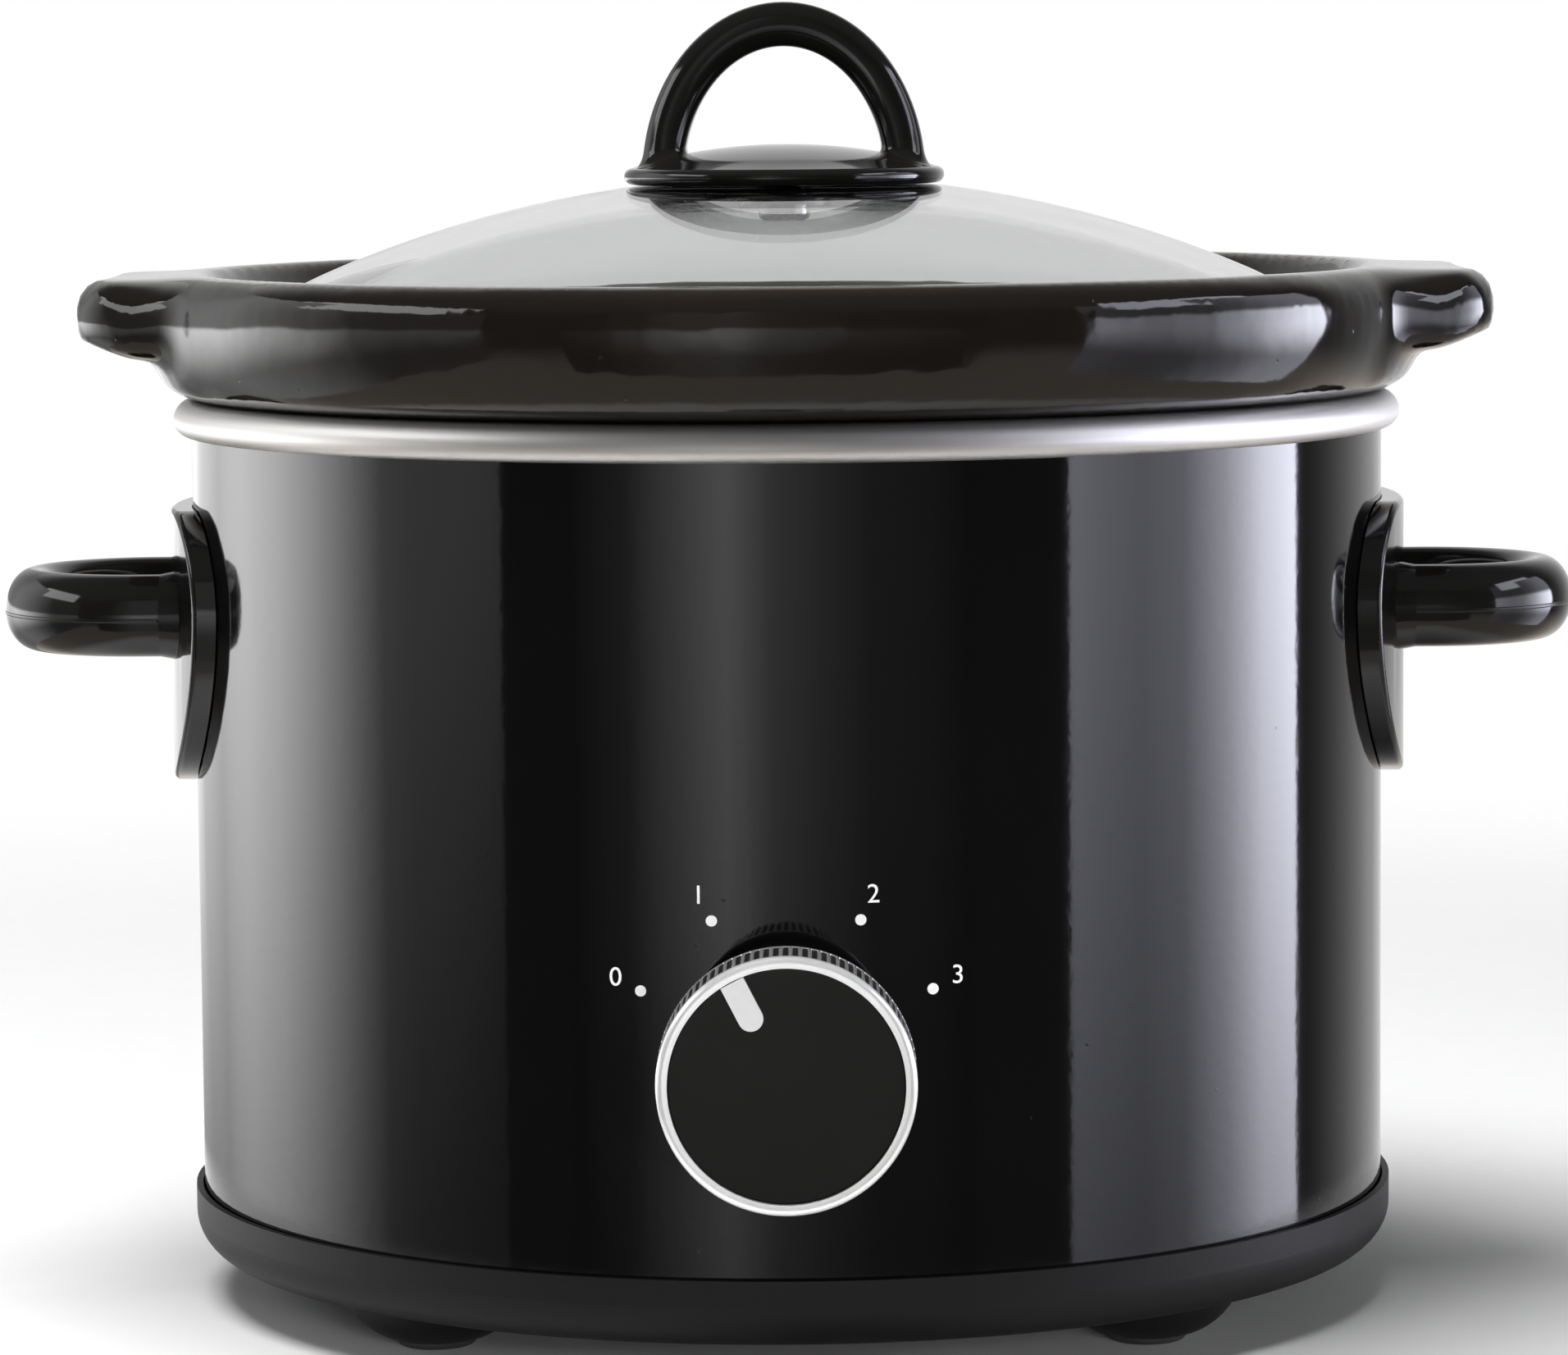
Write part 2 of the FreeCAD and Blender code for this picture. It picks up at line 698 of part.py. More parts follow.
def outer_shell():
    """The painted wrap, with a lock seam at the back and holes for what passes through it."""
    body = new_body("outer_shell_body")
    wall = new_sketch(body, "wrap", "XY_Plane", lift="ledge_height")
    circle(wall, "0", "0", "shell_radius")
    circle(wall, "0", "0", SHELL_INSIDE)
    padded(body, "wrap_pad", wall, f"{SHELL_TOP} - ledge_height")
    strip = outline(
        new_sketch(body, "seam", "XZ_Plane", turn=value("seam_azimuth")),
        ("shell_radius - shell_wall / 2", "ring_top + seam_margin"),
        ("shell_radius + seam_rise", "ring_top + seam_margin"),
        ("shell_radius + seam_rise", f"{BEAD_BOTTOM} - seam_margin"),
        ("shell_radius - shell_wall / 2", f"{BEAD_BOTTOM} - seam_margin"))
    seam = revolved(body, "seam_turn", strip, Midplane=True)
    bind(seam, Angle="seam_width / shell_radius * 180 / pi")
    front = circle(new_sketch(body, "dial_hole", "XZ_Plane"), "0", "dial_height",
                   "bushing_radius + slip_gap")
    pocketed(body, "dial_hole_cut", front, "shell_radius + 1", Reversed=True)
    back = circle(new_sketch(body, "gland_hole", "XZ_Plane"), "0", "gland_height",
                  "gland_radius + slip_gap")
    pocketed(body, "gland_hole_cut", back, "shell_radius + 1")
    sides = new_sketch(body, "post_holes", "YZ_Plane")
    circle(sides, LEG_OUT, "loop_height", "post_radius + slip_gap")
    circle(sides, f"-{LEG_OUT}", "loop_height", "post_radius + slip_gap")
    pocketed(body, "post_holes_cut", sides, "2 * shell_radius + 2", Midplane=True)
    piece(body, "outer_shell")


def heating_well():
    """The drawn pan, with its mouth flared to a flange and rolled into the bright bead."""
    roll = "bead_radius - bead_roll"
    curl = "bead_radius - bead_curl"
    middle = "bead_top - bead_roll"
    well = turned(
        "heating_well_body",
        ("0", "well_floor"),
        ("well_bottom_radius - well_corner", "well_floor"),
        ("well_bottom_radius", WELL_CORNER_TOP, "well_corner", "left"),
        ("well_top_radius", FLARE_START),
        ("well_top_radius + well_flare", "bead_top", "well_flare", "right"),
        (roll, "bead_top"),
        ("bead_radius", middle, "bead_roll", "right"),
        (curl, BEAD_BOTTOM, "bead_curl", "right"),
        (curl, f"{BEAD_BOTTOM} + well_wall"),
        ("bead_radius - well_wall", middle, "bead_curl - well_wall", "left"),
        (roll, "bead_top - well_wall", "bead_roll - well_wall", "left"),
        ("well_top_radius + well_flare", "bead_top - well_wall"),
        ("well_top_radius + well_wall", FLARE_START, "well_flare - well_wall", "left"),
        ("well_bottom_radius + well_wall", WELL_CORNER_TOP),
        ("well_bottom_radius - well_corner", "well_floor - well_wall", "well_corner + well_wall", "right"),
        ("0", "well_floor - well_wall"))
    piece(well, "heating_well")


# Side handles

def side_handle(name, angle):
    """A shield plate that hugs the wrap, with a finger loop and two posts through the wall. The arcs
    of the shield run into each other without a corner."""
    body = new_body(f"{name}_body")
    rise = "(plate_bottom + plate_base_round - plate_widest)"
    side_round = f"((plate_base_round^2 - plate_half^2 - {rise}^2) / 2 / (plate_base_round - plate_half))"
    share = f"(plate_base_round / (plate_base_round - {side_round}))"
    join_out = f"({share} * (plate_half - {side_round}))"
    join_up = f"(plate_bottom + plate_base_round - {share} * {rise})"
    top_round = "(plate_top - plate_widest)"
    top_half = f"(plate_half - {top_round})"
    shield = outline(
        new_sketch(body, f"{name}_shield", "YZ_Plane"),
        (f"-{join_out}", join_up, side_round, "left"),
        (join_out, join_up, "plate_base_round", "left"),
        ("plate_half", "plate_widest", side_round, "left"),
        (top_half, "plate_top", top_round, "left"),
        (f"-{top_half}", "plate_top"),
        ("-plate_half", "plate_widest", top_round, "left"))
    padded(body, f"{name}_block", shield, "loop_reach")
    around = new_sketch(body, f"{name}_around", "XY_Plane")
    circle(around, "0", "0", PLATE_OUTSIDE)
    circle(around, "0", "0", "2 * loop_reach")
    pocketed(body, f"{name}_face", around, "plate_top + 1", Reversed=True)
    inside = circle(new_sketch(body, f"{name}_inside", "XY_Plane"), "0", "0", PLATE_INSIDE)
    pocketed(body, f"{name}_back", inside, "plate_top + 1", Reversed=True)
    outer = value(PLATE_OUTSIDE)

    def on_face(edge):
        return all(abs(math.hypot(p.x, p.y) - outer) < 0.01 for p in edge.discretize(5))
    filleted(body, f"{name}_edge", "plate_edge", on_face)
    section = ellipse(new_sketch(body, f"{name}_bar", "YZ_Plane", lift=LOOP_CENTRE),
                      LEG_OUT, "loop_height", "loop_bar_wide / 2", "loop_bar_tall / 2")
    revolved(body, f"{name}_loop", section, angle=180.0, Reversed=True)
    legs = new_sketch(body, f"{name}_legs", "YZ_Plane", lift=LEG_ROOT)
    collars = new_sketch(body, f"{name}_collars", "YZ_Plane", lift=LEG_ROOT)
    posts = new_sketch(body, f"{name}_posts", "YZ_Plane", lift=POST_END)
    pilots = new_sketch(body, f"{name}_pilots", "YZ_Plane", lift=POST_END)
    for side in ("", "-"):
        place = (f"{side}{LEG_OUT}", "loop_height")
        ellipse(legs, *place, "loop_bar_wide / 2", "loop_bar_tall / 2")
        ellipse(collars, *place, "loop_bar_wide / 2 + collar_step", "loop_bar_tall / 2 + collar_step")
        circle(posts, *place, "post_radius")
        circle(pilots, *place, "handle_screw_radius + running_gap")
    plate_at_leg = f"sqrt({PLATE_OUTSIDE}^2 - {LEG_OUT}^2)"
    padded(body, f"{name}_leg", legs, f"{LOOP_CENTRE} - {LEG_ROOT}")
    padded(body, f"{name}_collar", collars, f"{plate_at_leg} + collar_wall - {LEG_ROOT}")
    padded(body, f"{name}_post", posts, f"{LEG_ROOT} + seat_gap - {POST_END}")
    pocketed(body, f"{name}_pilot", pilots, "handle_screw_length", Reversed=True)
    piece(moved(body, axis=(0, 0, 1), angle=angle), name)


def handle_fasteners():
    """Two screws with washers inside the wrap behind each handle."""
    screws = []
    washers = []
    seat = f"({POST_END} - handle_washer_wall)"
    for way, angle in (("", 90.0), ("-", -90.0)):
        for side in ("", "-"):
            mark = len(screws)
            screw = headed_screw(f"handle_screw_{mark}", "handle_screw_radius", "handle_screw_length",
                                 "handle_screw_head", "handle_screw_head_height")
            washer = ring(f"handle_washer_{mark}", "handle_washer_radius",
                          "handle_screw_radius + seat_gap", "handle_washer_wall")
            for item in (screw, washer):
                moved(item, f"{way}{seat}", f"{side}{LEG_OUT}", "loop_height", (0, 1, 0), angle)
            screws.append(screw)
            washers.append(washer)
    piece(grouped("handle_screw_set", screws), "handle_screws")
    piece(grouped("handle_washer_set", washers), "handle_washers")


# Crock and lid

def crock_ear(name, angle):
    """One ear of the crock: a lug with a round nose, whose underside runs into the bowl in a hollow curve."""
    body = new_body(f"{name}_body")
    root = "(lip_radius - ear_sink)"
    bend = f"({root} + ear_flare * (1 - sin(ear_slope)))"
    bend_height = f"(ear_bottom - (ear_reach - {bend}) * tan(ear_slope))"
    low = f"({bend_height} - 2 * ear_flare)"
    plan = outline(
        new_sketch(body, f"{name}_plan", "XY_Plane", lift=low),
        ("ear_root", "-ear_root_width / 2"), ("ear_reach", "-ear_tip_width / 2"),
        ("ear_reach", "ear_tip_width / 2"), ("ear_root", "ear_root_width / 2"))
    padded(body, f"{name}_pad", plan, f"ear_top - {low}")
    far_height = f"({bend_height} + (2 * ear_reach - {bend}) * tan(ear_slope))"
    under = outline(
        new_sketch(body, f"{name}_under", "XZ_Plane"),
        (root, f"{low} - ear_drop"), ("2 * ear_reach", f"{low} - ear_drop"), ("2 * ear_reach", far_height),
        (bend, bend_height),
        (root, f"{bend_height} - ear_flare * cos(ear_slope)", "ear_flare", "left"))
    revolved(body, f"{name}_underside", under, kind="Groove")
    reach, start = value("ear_reach"), value("ear_root")

    def is_nose_corner(edge):
        box = edge.BoundBox
        return box.XMin > reach - 0.01 and box.YLength < 0.01
    filleted(body, f"{name}_nose", "ear_corner", is_nose_corner)

    def is_rim(edge):
        box = edge.BoundBox
        return box.XMax > start + 0.01 and max(box.XLength, box.YLength) > 0.01
    filleted(body, f"{name}_rim", "ear_edge", is_rim)
    inside = solid_of("Part::Cylinder", f"{name}_inside", Radius="band_foot_radius", Height="crock_top")
    return moved(cut(f"{name}_lug", body, inside), axis=(0, 0, 1), angle=angle)


def crock():
    """The stoneware bowl: tapered wall, seat band, rounded lip with a ledge for the lid, two ears."""
    corner_top = f"({CROCK_BOTTOM} + crock_corner)"
    flat = f"({crock_outside(corner_top)} - crock_corner)"
    neck = crock_outside(FLARE_START)
    inside_floor = f"({CROCK_BOTTOM} + crock_floor)"
    inside_corner = f"({inside_floor} + crock_inner_corner)"
    wall_low = f"({crock_outside(inside_corner)} - crock_wall)"
    wall_high = f"({neck} - crock_wall)"
    bowl = turned(
        "crock_bowl",
        ("0", f"{CROCK_BOTTOM} + crock_foot_rise"),
        (f"{flat} - crock_foot_width - crock_foot_rise", f"{CROCK_BOTTOM} + crock_foot_rise"),
        (f"{flat} - crock_foot_width", CROCK_BOTTOM),
        (flat, CROCK_BOTTOM),
        (crock_outside(corner_top), corner_top, "crock_corner", "left"),
        (neck, FLARE_START),
        (neck, CROCK_SEAT),
        ("band_foot_radius", CROCK_SEAT),
        ("band_foot_radius + band_foot_round * sin(band_foot_turn)",
         f"{CROCK_SEAT} + band_foot_round * (1 - cos(band_foot_turn))", "band_foot_round", "left"),
        ("lip_radius", "crock_top - lip_outer_round", "band_round", "left"),
        ("lip_radius - lip_outer_round", "crock_top", "lip_outer_round", "left"),
        ("lip_mouth + lip_inner_round", "crock_top"),
        ("lip_mouth", "crock_top - lip_inner_round", "lip_inner_round", "left"),
        ("ledge_radius", CROCK_LEDGE),
        (f"{wall_high} + ledge_round", CROCK_LEDGE),
        (wall_high, f"{CROCK_LEDGE} - ledge_round", "ledge_round", "left"),
        (wall_low, inside_corner),
        (f"{wall_low} - crock_inner_corner", inside_floor, "crock_inner_corner", "right"),
        ("0", inside_floor))
    piece(fused("crock_fused", bowl, crock_ear("ear_right", 0.0), crock_ear("ear_left", 180.0)), "crock")


def lid_glass():
    """The domed glass, with a flattened brim and a hole at the crown."""
    inner = "(dome_radius - lid_wall)"
    brim = "(lid_radius - lid_wall / 2)"
    shoulder = "(dome_edge - lid_wall / 2)"
    glass = turned(
        "lid_glass_body",
        ("lid_hole", dome_height("lid_hole", inner), inner, "left"),
        ("lid_hole", dome_height("lid_hole", "dome_radius")),
        ("dome_edge", dome_height("dome_edge", "dome_radius"), "dome_radius", "right"),
        (brim, "lid_edge_top"),
        ("lid_radius", "lid_edge_top - lid_wall / 2", "lid_wall / 2", "right"),
        (brim, LID_SEAT, "lid_wall / 2", "right"),
        ("dome_edge", LID_SEAT),
        (shoulder, dome_height(shoulder, inner)))
    piece(glass, "lid_glass")


def lid_handle():
    """An arch on a crowned flange; the flange follows the dome and hides the gasket's recess."""
    body = new_body("lid_handle_body")
    under = "(dome_radius + slip_gap)"
    rim = "(flange_radius - flange_edge)"
    rim_height = dome_height(rim, under)
    disc_edge = f"({rim_height} + 2 * flange_edge + disc_rise)"
    crown_rise = f"(disc_crown - {disc_edge})"
    crown_round = f"((disc_radius^2 + {crown_rise}^2) / (2 * {crown_rise}))"
    recess = "(gasket_outer + seat_gap)"
    bore = "(lid_screw_radius + running_gap)"
    flange = outline(
        new_sketch(body, "flange", "XZ_Plane"),
        (bore, GASKET_TOP), (recess, GASKET_TOP), (recess, dome_height(recess, under)),
        (rim, rim_height, under, "right"),
        ("flange_radius", f"{rim_height} + flange_edge", "flange_edge", "left"),
        (rim, f"{rim_height} + 2 * flange_edge", "flange_edge", "left"),
        ("disc_radius", disc_edge),
        ("0", "disc_crown", crown_round, "left"),
        ("0", LID_SCREW_TIP), (bore, LID_SCREW_TIP))
    revolved(body, "flange_turn", flange)
    centre = "(arch_top - arch_half)"
    middle = "(arch_half - arch_bar / 2)"
    bar = rounded_rectangle(new_sketch(body, "arch_bar_section", "XY_Plane", lift=centre),
                            middle, "0", "arch_bar", "arch_depth", "arch_corner")
    revolved(body, "arch", bar, angle=180.0, Reversed=True)
    for side, way in (("right", ""), ("left", "-")):
        head = new_sketch(body, f"arch_head_{side}", "XY_Plane", lift=centre)
        foot = new_sketch(body, f"arch_foot_{side}", "XY_Plane", lift=f"{rim_height} + arch_foot_sink")
        rounded_rectangle(head, f"{way}{middle}", "0", "arch_bar", "arch_depth", "arch_corner")
        rounded_rectangle(foot, f"{way}({middle} + arch_splay)", "0",
                          "arch_foot_width", "arch_foot_depth", "arch_corner")
        feature(body, "AdditiveLoft", f"arch_leg_{side}", foot, Sections=[head])
    piece(body, "lid_handle")


def lid_fasteners():
    """Gasket under the handle, and the screw and washer under the glass."""
    bed = "(dome_radius + seat_gap)"
    gasket = turned(
        "lid_gasket_body",
        ("gasket_inner", dome_height("gasket_inner", bed)),
        ("gasket_outer", dome_height("gasket_outer", bed), bed, "right"),
        ("gasket_outer", GASKET_TOP), ("gasket_inner", GASKET_TOP))
    piece(gasket, "lid_gasket")
    washer = ring("lid_washer_ring", "lid_washer_radius", "lid_screw_radius + seat_gap", "lid_washer_wall")
    piece(moved(washer, z=LID_SCREW_SEAT), "lid_washer")
    length = f"({LID_SCREW_TIP} - {LID_SCREW_SEAT} - seat_gap)"
    screw = headed_screw("lid_screw_body", "lid_screw_radius", length,
                         "lid_screw_head", "lid_screw_head_height")
    piece(moved(screw, z=LID_SCREW_SEAT), "lid_screw")


# Dial knob and rotary switch, drawn with Z pointing out of the wrap at the dial's centre

def on_dial(item, turn=0.0):
    """Set an item on the front of the wrap, turned about the dial's axis."""
    outwards = FreeCAD.Rotation(FreeCAD.Vector(1, 0, 0), 90)
    about_dial = FreeCAD.Rotation(FreeCAD.Vector(0, 0, 1), turn)
    item.Placement = FreeCAD.Placement(FreeCAD.Vector(), outwards.multiply(about_dial))
    return bind(item, Placement__Base__y="-shell_radius", Placement__Base__z="dial_height")


def d_outline(sketch, radius, flat):
    """A round shaft's outline with one flat on its upper side."""
    half = f"sqrt(({radius})^2 - ({flat})^2)"
    return outline(
        sketch,
        (f"-{half}", flat, radius, "right"), (half, flat), ("0", f"-({radius})", radius, "right"))


def pointer_outline(sketch, end, gap="0"):
    """A bar with a round inner end, pointing up from near the dial's centre."""
    half = f"(pointer_width / 2 + {gap})"
    shoulder = "(pointer_start + pointer_width / 2)"
    return outline(
        sketch,
        (f"-{half}", shoulder), ("0", f"{shoulder} - {half}", half, "left"), (half, shoulder, half, "left"),
        (half, end), (f"-{half}", end))


def knob():
    """Skirted body, knurled bezel, gloss face with an inlaid pointer, and the spring on the boss."""
    turn = value("pointer_angle")
    face_seat = "(knob_face_height - face_wall)"
    web = f"({face_seat} - knob_web)"
    body = new_body("knob_body_body")
    profile = outline(
        new_sketch(body, "knob_profile", "XZ_Plane"),
        ("skirt_radius - skirt_wall", "knob_lift"), ("skirt_radius", "knob_lift"),
        ("skirt_radius", "knob_step"), ("face_radius", "knob_step"), ("face_radius", face_seat),
        ("0", face_seat), ("0", "boss_bottom"), ("boss_radius", "boss_bottom"), ("boss_radius", web),
        ("skirt_radius - skirt_wall", web))
    revolved(body, "knob_turned", profile)
    bore = d_outline(new_sketch(body, "knob_bore", "XY_Plane", lift="boss_bottom"),
                     "shaft_radius + running_gap", "shaft_flat + running_gap")
    pocketed(body, "knob_bore_cut", bore, "shaft_end + seat_gap - boss_bottom", Reversed=True)
    piece(on_dial(body, turn), "knob_body")

    bezel = new_body("knob_ring_body")
    inner = "(face_radius + running_gap)"
    section = outline(
        new_sketch(bezel, "bezel_profile", "XZ_Plane"),
        (inner, "knob_step"), ("bezel_radius - knurl_radius", "knob_step"),
        ("bezel_radius", "knob_step + knurl_radius"), ("bezel_radius", "bezel_height - bezel_lip"),
        ("bezel_radius - bezel_lip", "bezel_height", "bezel_lip", "left"), (inner, "bezel_height"))
    revolved(bezel, "bezel_turned", section)
    flute_axis = "(bezel_radius - knurl_depth + knurl_radius)"
    flute_start = "(knob_step + knurl_land)"
    flute = circle(new_sketch(bezel, "knurl", "XY_Plane", lift=flute_start), flute_axis, "0", "knurl_radius")
    flute_length = f"bezel_height - bezel_lip - {flute_start}"
    flute_cut = pocketed(bezel, "knurl_cut", flute, flute_length, Reversed=True)
    point = outline(
        new_sketch(bezel, "knurl_point", "XZ_Plane"),
        (flute_axis, f"{flute_start} - knurl_radius"),
        (f"{flute_axis} + knurl_radius", flute_start),
        (flute_axis, flute_start))
    flute_end = revolved(bezel, "knurl_end_cut", axis_at(point, flute_axis), axis="Axis0", kind="Groove")
    patterned(bezel, "knurls", [flute_cut, flute_end], "knurl_count")
    piece(on_dial(bezel, turn), "knob_ring")

    face = new_body("knob_face_body")
    disc = outline(
        new_sketch(face, "face_profile", "XZ_Plane"),
        ("0", face_seat), ("face_radius", face_seat), ("face_radius", "knob_face_height - seat_gap"),
        ("face_radius - seat_gap", "knob_face_height"), ("0", "knob_face_height"))
    revolved(face, "face_turned", disc)
    slot = new_sketch(face, "pointer_slot", "XY_Plane", lift="knob_face_height")
    pointer_outline(slot, "face_radius + pointer_width", "running_gap")
    pocketed(face, "pointer_slot_cut", slot, "pointer_sink")
    piece(on_dial(face, turn), "knob_face")

    pointer = new_body("knob_pointer_body")
    bar = new_sketch(pointer, "pointer_bar", "XY_Plane", lift="knob_face_height - pointer_sink")
    pointer_outline(bar, "sqrt(face_radius^2 - (pointer_width / 2)^2)")
    padded(pointer, "pointer_pad", bar, "pointer_sink + pointer_rise")
    piece(on_dial(pointer, turn), "knob_pointer")

    clip = new_body("knob_clip_body")
    grip = "(boss_radius + running_gap)"
    leaf = rectangle(new_sketch(clip, "clip_section", "XZ_Plane"),
                     f"{grip} + clip_wall / 2", "clip_height", "clip_wall", "clip_width")
    bind(revolved(clip, "clip_turned", leaf, Midplane=True), Angle="360 - clip_opening")
    piece(on_dial(clip, turn), "knob_clip")

    shaft = new_body("switch_shaft_body")
    round_part = circle(new_sketch(shaft, "shaft_round", "XY_Plane", lift=f"-{SHAFT_TAIL}"),
                        "0", "0", "shaft_radius")
    padded(shaft, "shaft_round_pad", round_part, f"{SHAFT_FLAT_START} + {SHAFT_TAIL}")
    flat_part = d_outline(new_sketch(shaft, "shaft_d", "XY_Plane", lift=SHAFT_FLAT_START),
                          "shaft_radius", "shaft_flat")
    padded(shaft, "shaft_d_pad", flat_part, f"shaft_end - {SHAFT_FLAT_START}")
    piece(on_dial(shaft, turn), "switch_shaft")


def rotary_switch():
    """The switch hangs on its bushing in the wrap; its blades point to the middle of the base."""
    body = new_body("switch_body_body")
    back = f"({SWITCH_FRONT} + switch_depth)"
    case = rounded_rectangle(new_sketch(body, "switch_case", "XY_Plane", lift=f"-{back}"),
                             "0", "0", "switch_width", "switch_tall", "switch_round")
    padded(body, "switch_case_pad", case, "switch_depth")
    shoulder_top = f"(shell_radius - sqrt({SHELL_INSIDE}^2 - bushing_shoulder^2) + seat_gap)"
    shoulder = new_sketch(body, "switch_shoulder", "XY_Plane", lift=f"-{back}")
    circle(shoulder, "0", "0", "bushing_shoulder")
    padded(body, "switch_shoulder_pad", shoulder, f"{back} - {shoulder_top}")
    bushing = new_sketch(body, "switch_bushing", "XY_Plane", lift=f"-{back}")
    circle(bushing, "0", "0", "bushing_radius")
    padded(body, "switch_bushing_pad", bushing, f"{back} + bushing_end")
    bore = circle(new_sketch(body, "switch_bore", "XY_Plane", lift="bushing_end"),
                  "0", "0", "shaft_radius + running_gap")
    pocketed(body, "switch_bore_cut", bore, f"bushing_end + {SHAFT_TAIL} + seat_gap")
    piece(on_dial(body), "switch_body")
    nut = hex_nut("switch_nut_hex", "switch_nut_across", "switch_nut_height", "bushing_radius + running_gap")
    moved(nut, y="-shell_radius - seat_gap", z="dial_height", axis=(1, 0, 0), angle=90.0)
    piece(nut, "switch_nut")
    tabs = []
    for step in (-1, 0, 1):
        tab = solid_of("Part::Box", f"tab_{step + 1}",
                       Length="tab_width", Width="tab_length", Height="tab_wall")
        moved(tab, f"{step} * tab_pitch - tab_width / 2",
              f"-{TAB_TIP} - tab_length", f"{TAB_HEIGHT} - tab_wall / 2")
        tabs.append(tab)
    piece(grouped("switch_tab_set", tabs), "switch_tabs")


# Element, fuse and wiring

def cone_band(name, low, tall, inset, wall, opening):
    """A band that hugs the well's taper, open over an angle."""
    body = new_body(name)
    inner_low = f"({well_outside(low)} + {inset})"
    inner_high = f"({well_outside(f'({low} + {tall})')} + {inset})"
    section = outline(
        new_sketch(body, f"{name}_section", "XZ_Plane"),
        (inner_low, low), (f"{inner_low} + {wall}", low),
        (f"{inner_high} + {wall}", f"{low} + {tall}"), (inner_high, f"{low} + {tall}"))
    bind(revolved(body, f"{name}_turn", section, Midplane=True), Angle=f"360 - {opening}")
    return body


def element():
    """The wrap-round heating band, open at the front, and the strap that draws it tight at the back."""
    band = cone_band("heating_band_body", "band_bottom", "band_tall", "seat_gap", "band_wall", "band_opening")
    piece(moved(band, axis=(0, 0, 1), angle=90.0), "heating_band")
    inset = "(2 * seat_gap + band_wall)"
    strap = cone_band("strap_hoop", "strap_bottom", "strap_tall", inset, "strap_wall", "strap_opening")
    moved(strap, axis=(0, 0, 1), angle=-90.0)
    middle = "(strap_bottom + strap_tall / 2)"
    hoop = f"({well_outside(middle)} + {inset})"
    ear_at = f"({hoop} * sin(strap_opening / 2))"
    ear_out = f"({hoop} + strap_wall + strap_ear)"
    screw_out = f"({hoop} + strap_wall + strap_ear / 2 + seat_gap)"
    ear_start = f"(({well_outside('(strap_bottom + strap_tall)')} + {inset}) * cos(strap_opening / 2))"
    ears = []
    for side, place in (("left", f"-{ear_at} - strap_wall"), ("right", ear_at)):
        ear = solid_of("Part::Box", f"strap_ear_{side}", Length="strap_wall", Height="strap_tall",
                       Width=f"{ear_out} - {ear_start}")
        moved(ear, place, ear_start, "strap_bottom")
        ears.append(ear)
    hole = solid_of("Part::Cylinder", "strap_hole", Radius="strap_screw_radius + seat_gap",
                    Height=f"2 * {ear_at} + 4 * strap_wall")
    moved(hole, f"-{ear_at} - 2 * strap_wall", screw_out, middle, (0, 1, 0), 90.0)
    piece(cut("strap_cut", fused("strap_fused", strap, *ears), hole), "band_strap")
    length = f"(2 * {ear_at} + 3 * strap_wall + strap_nut_height)"
    screw = headed_screw("strap_screw_body", "strap_screw_radius", length,
                         "strap_screw_head", "strap_screw_head_height")
    piece(moved(screw, f"-{ear_at} - strap_wall", screw_out, middle, (0, 1, 0), 90.0), "strap_screw")
    nut = hex_nut("strap_nut_hex", "strap_nut_across", "strap_nut_height", "strap_screw_radius + running_gap")
    piece(moved(nut, f"{ear_at} + strap_wall", screw_out, middle, (0, 1, 0), 90.0), "strap_nut")


def center_tie():
    """The stud welded under the well, with the washer and nut in the base's recess."""
    washer_low = f"({RECESS_TOP} - stud_washer_wall)"
    nut_low = f"({washer_low} - stud_nut_height)"
    top = "(well_floor - well_wall)"
    stud = turned(
        "center_stud_body",
        ("0", f"{nut_low} - stud_tail"), ("stud_radius", f"{nut_low} - stud_tail"),
        ("stud_radius", f"{top} - stud_flange_wall"), ("stud_flange", f"{top} - stud_flange_wall"),
        ("stud_flange", top), ("0", top))
    piece(stud, "center_stud")
    washer = ring("stud_washer_ring", "stud_washer_radius", "stud_radius + seat_gap", "stud_washer_wall")
    piece(moved(washer, z=washer_low), "stud_washer")
    nut = hex_nut("stud_nut_hex", "stud_nut_across", "stud_nut_height", "stud_radius + running_gap")
    piece(moved(nut, z=nut_low), "stud_nut")


def fuse():
    """The over-temperature fuse, held up against the well's floor by a saddle clip."""
    body = solid_of("Part::Cylinder", "fuse_body", Radius="fuse_radius", Height="fuse_length")
    moved(body, y="-fuse_place - fuse_length / 2", z=FUSE_HEIGHT, axis=(1, 0, 0), angle=-90.0)
    piece(body, "thermal_fuse")
    clip = new_body("fuse_clip_body")
    inner = "(fuse_radius + seat_gap)"
    outer = f"({inner} + fuse_clip_wall)"
    ceiling = "(well_floor - well_wall)"
    ear_low = f"({ceiling} - fuse_clip_wall)"
    ear_end = f"({outer} + fuse_clip_ear)"
    saddle = outline(
        new_sketch(clip, "clip_saddle", "XZ_Plane", lift="fuse_place"),
        (f"-{ear_end}", ceiling), (f"-{ear_end}", ear_low),
        (f"-{outer}", ear_low), (f"-{outer}", FUSE_HEIGHT),
        ("0", f"{FUSE_HEIGHT} - {outer}", outer, "left"), (outer, FUSE_HEIGHT, outer, "left"),
        (outer, ear_low), (ear_end, ear_low), (ear_end, ceiling), (inner, ceiling), (inner, FUSE_HEIGHT),
        ("0", f"{FUSE_HEIGHT} - {inner}", inner, "right"), (f"-{inner}", FUSE_HEIGHT, inner, "right"),
        (f"-{inner}", ceiling))
    padded(clip, "clip_pad", saddle, "fuse_clip_width", Midplane=True)
    piece(clip, "fuse_clip")


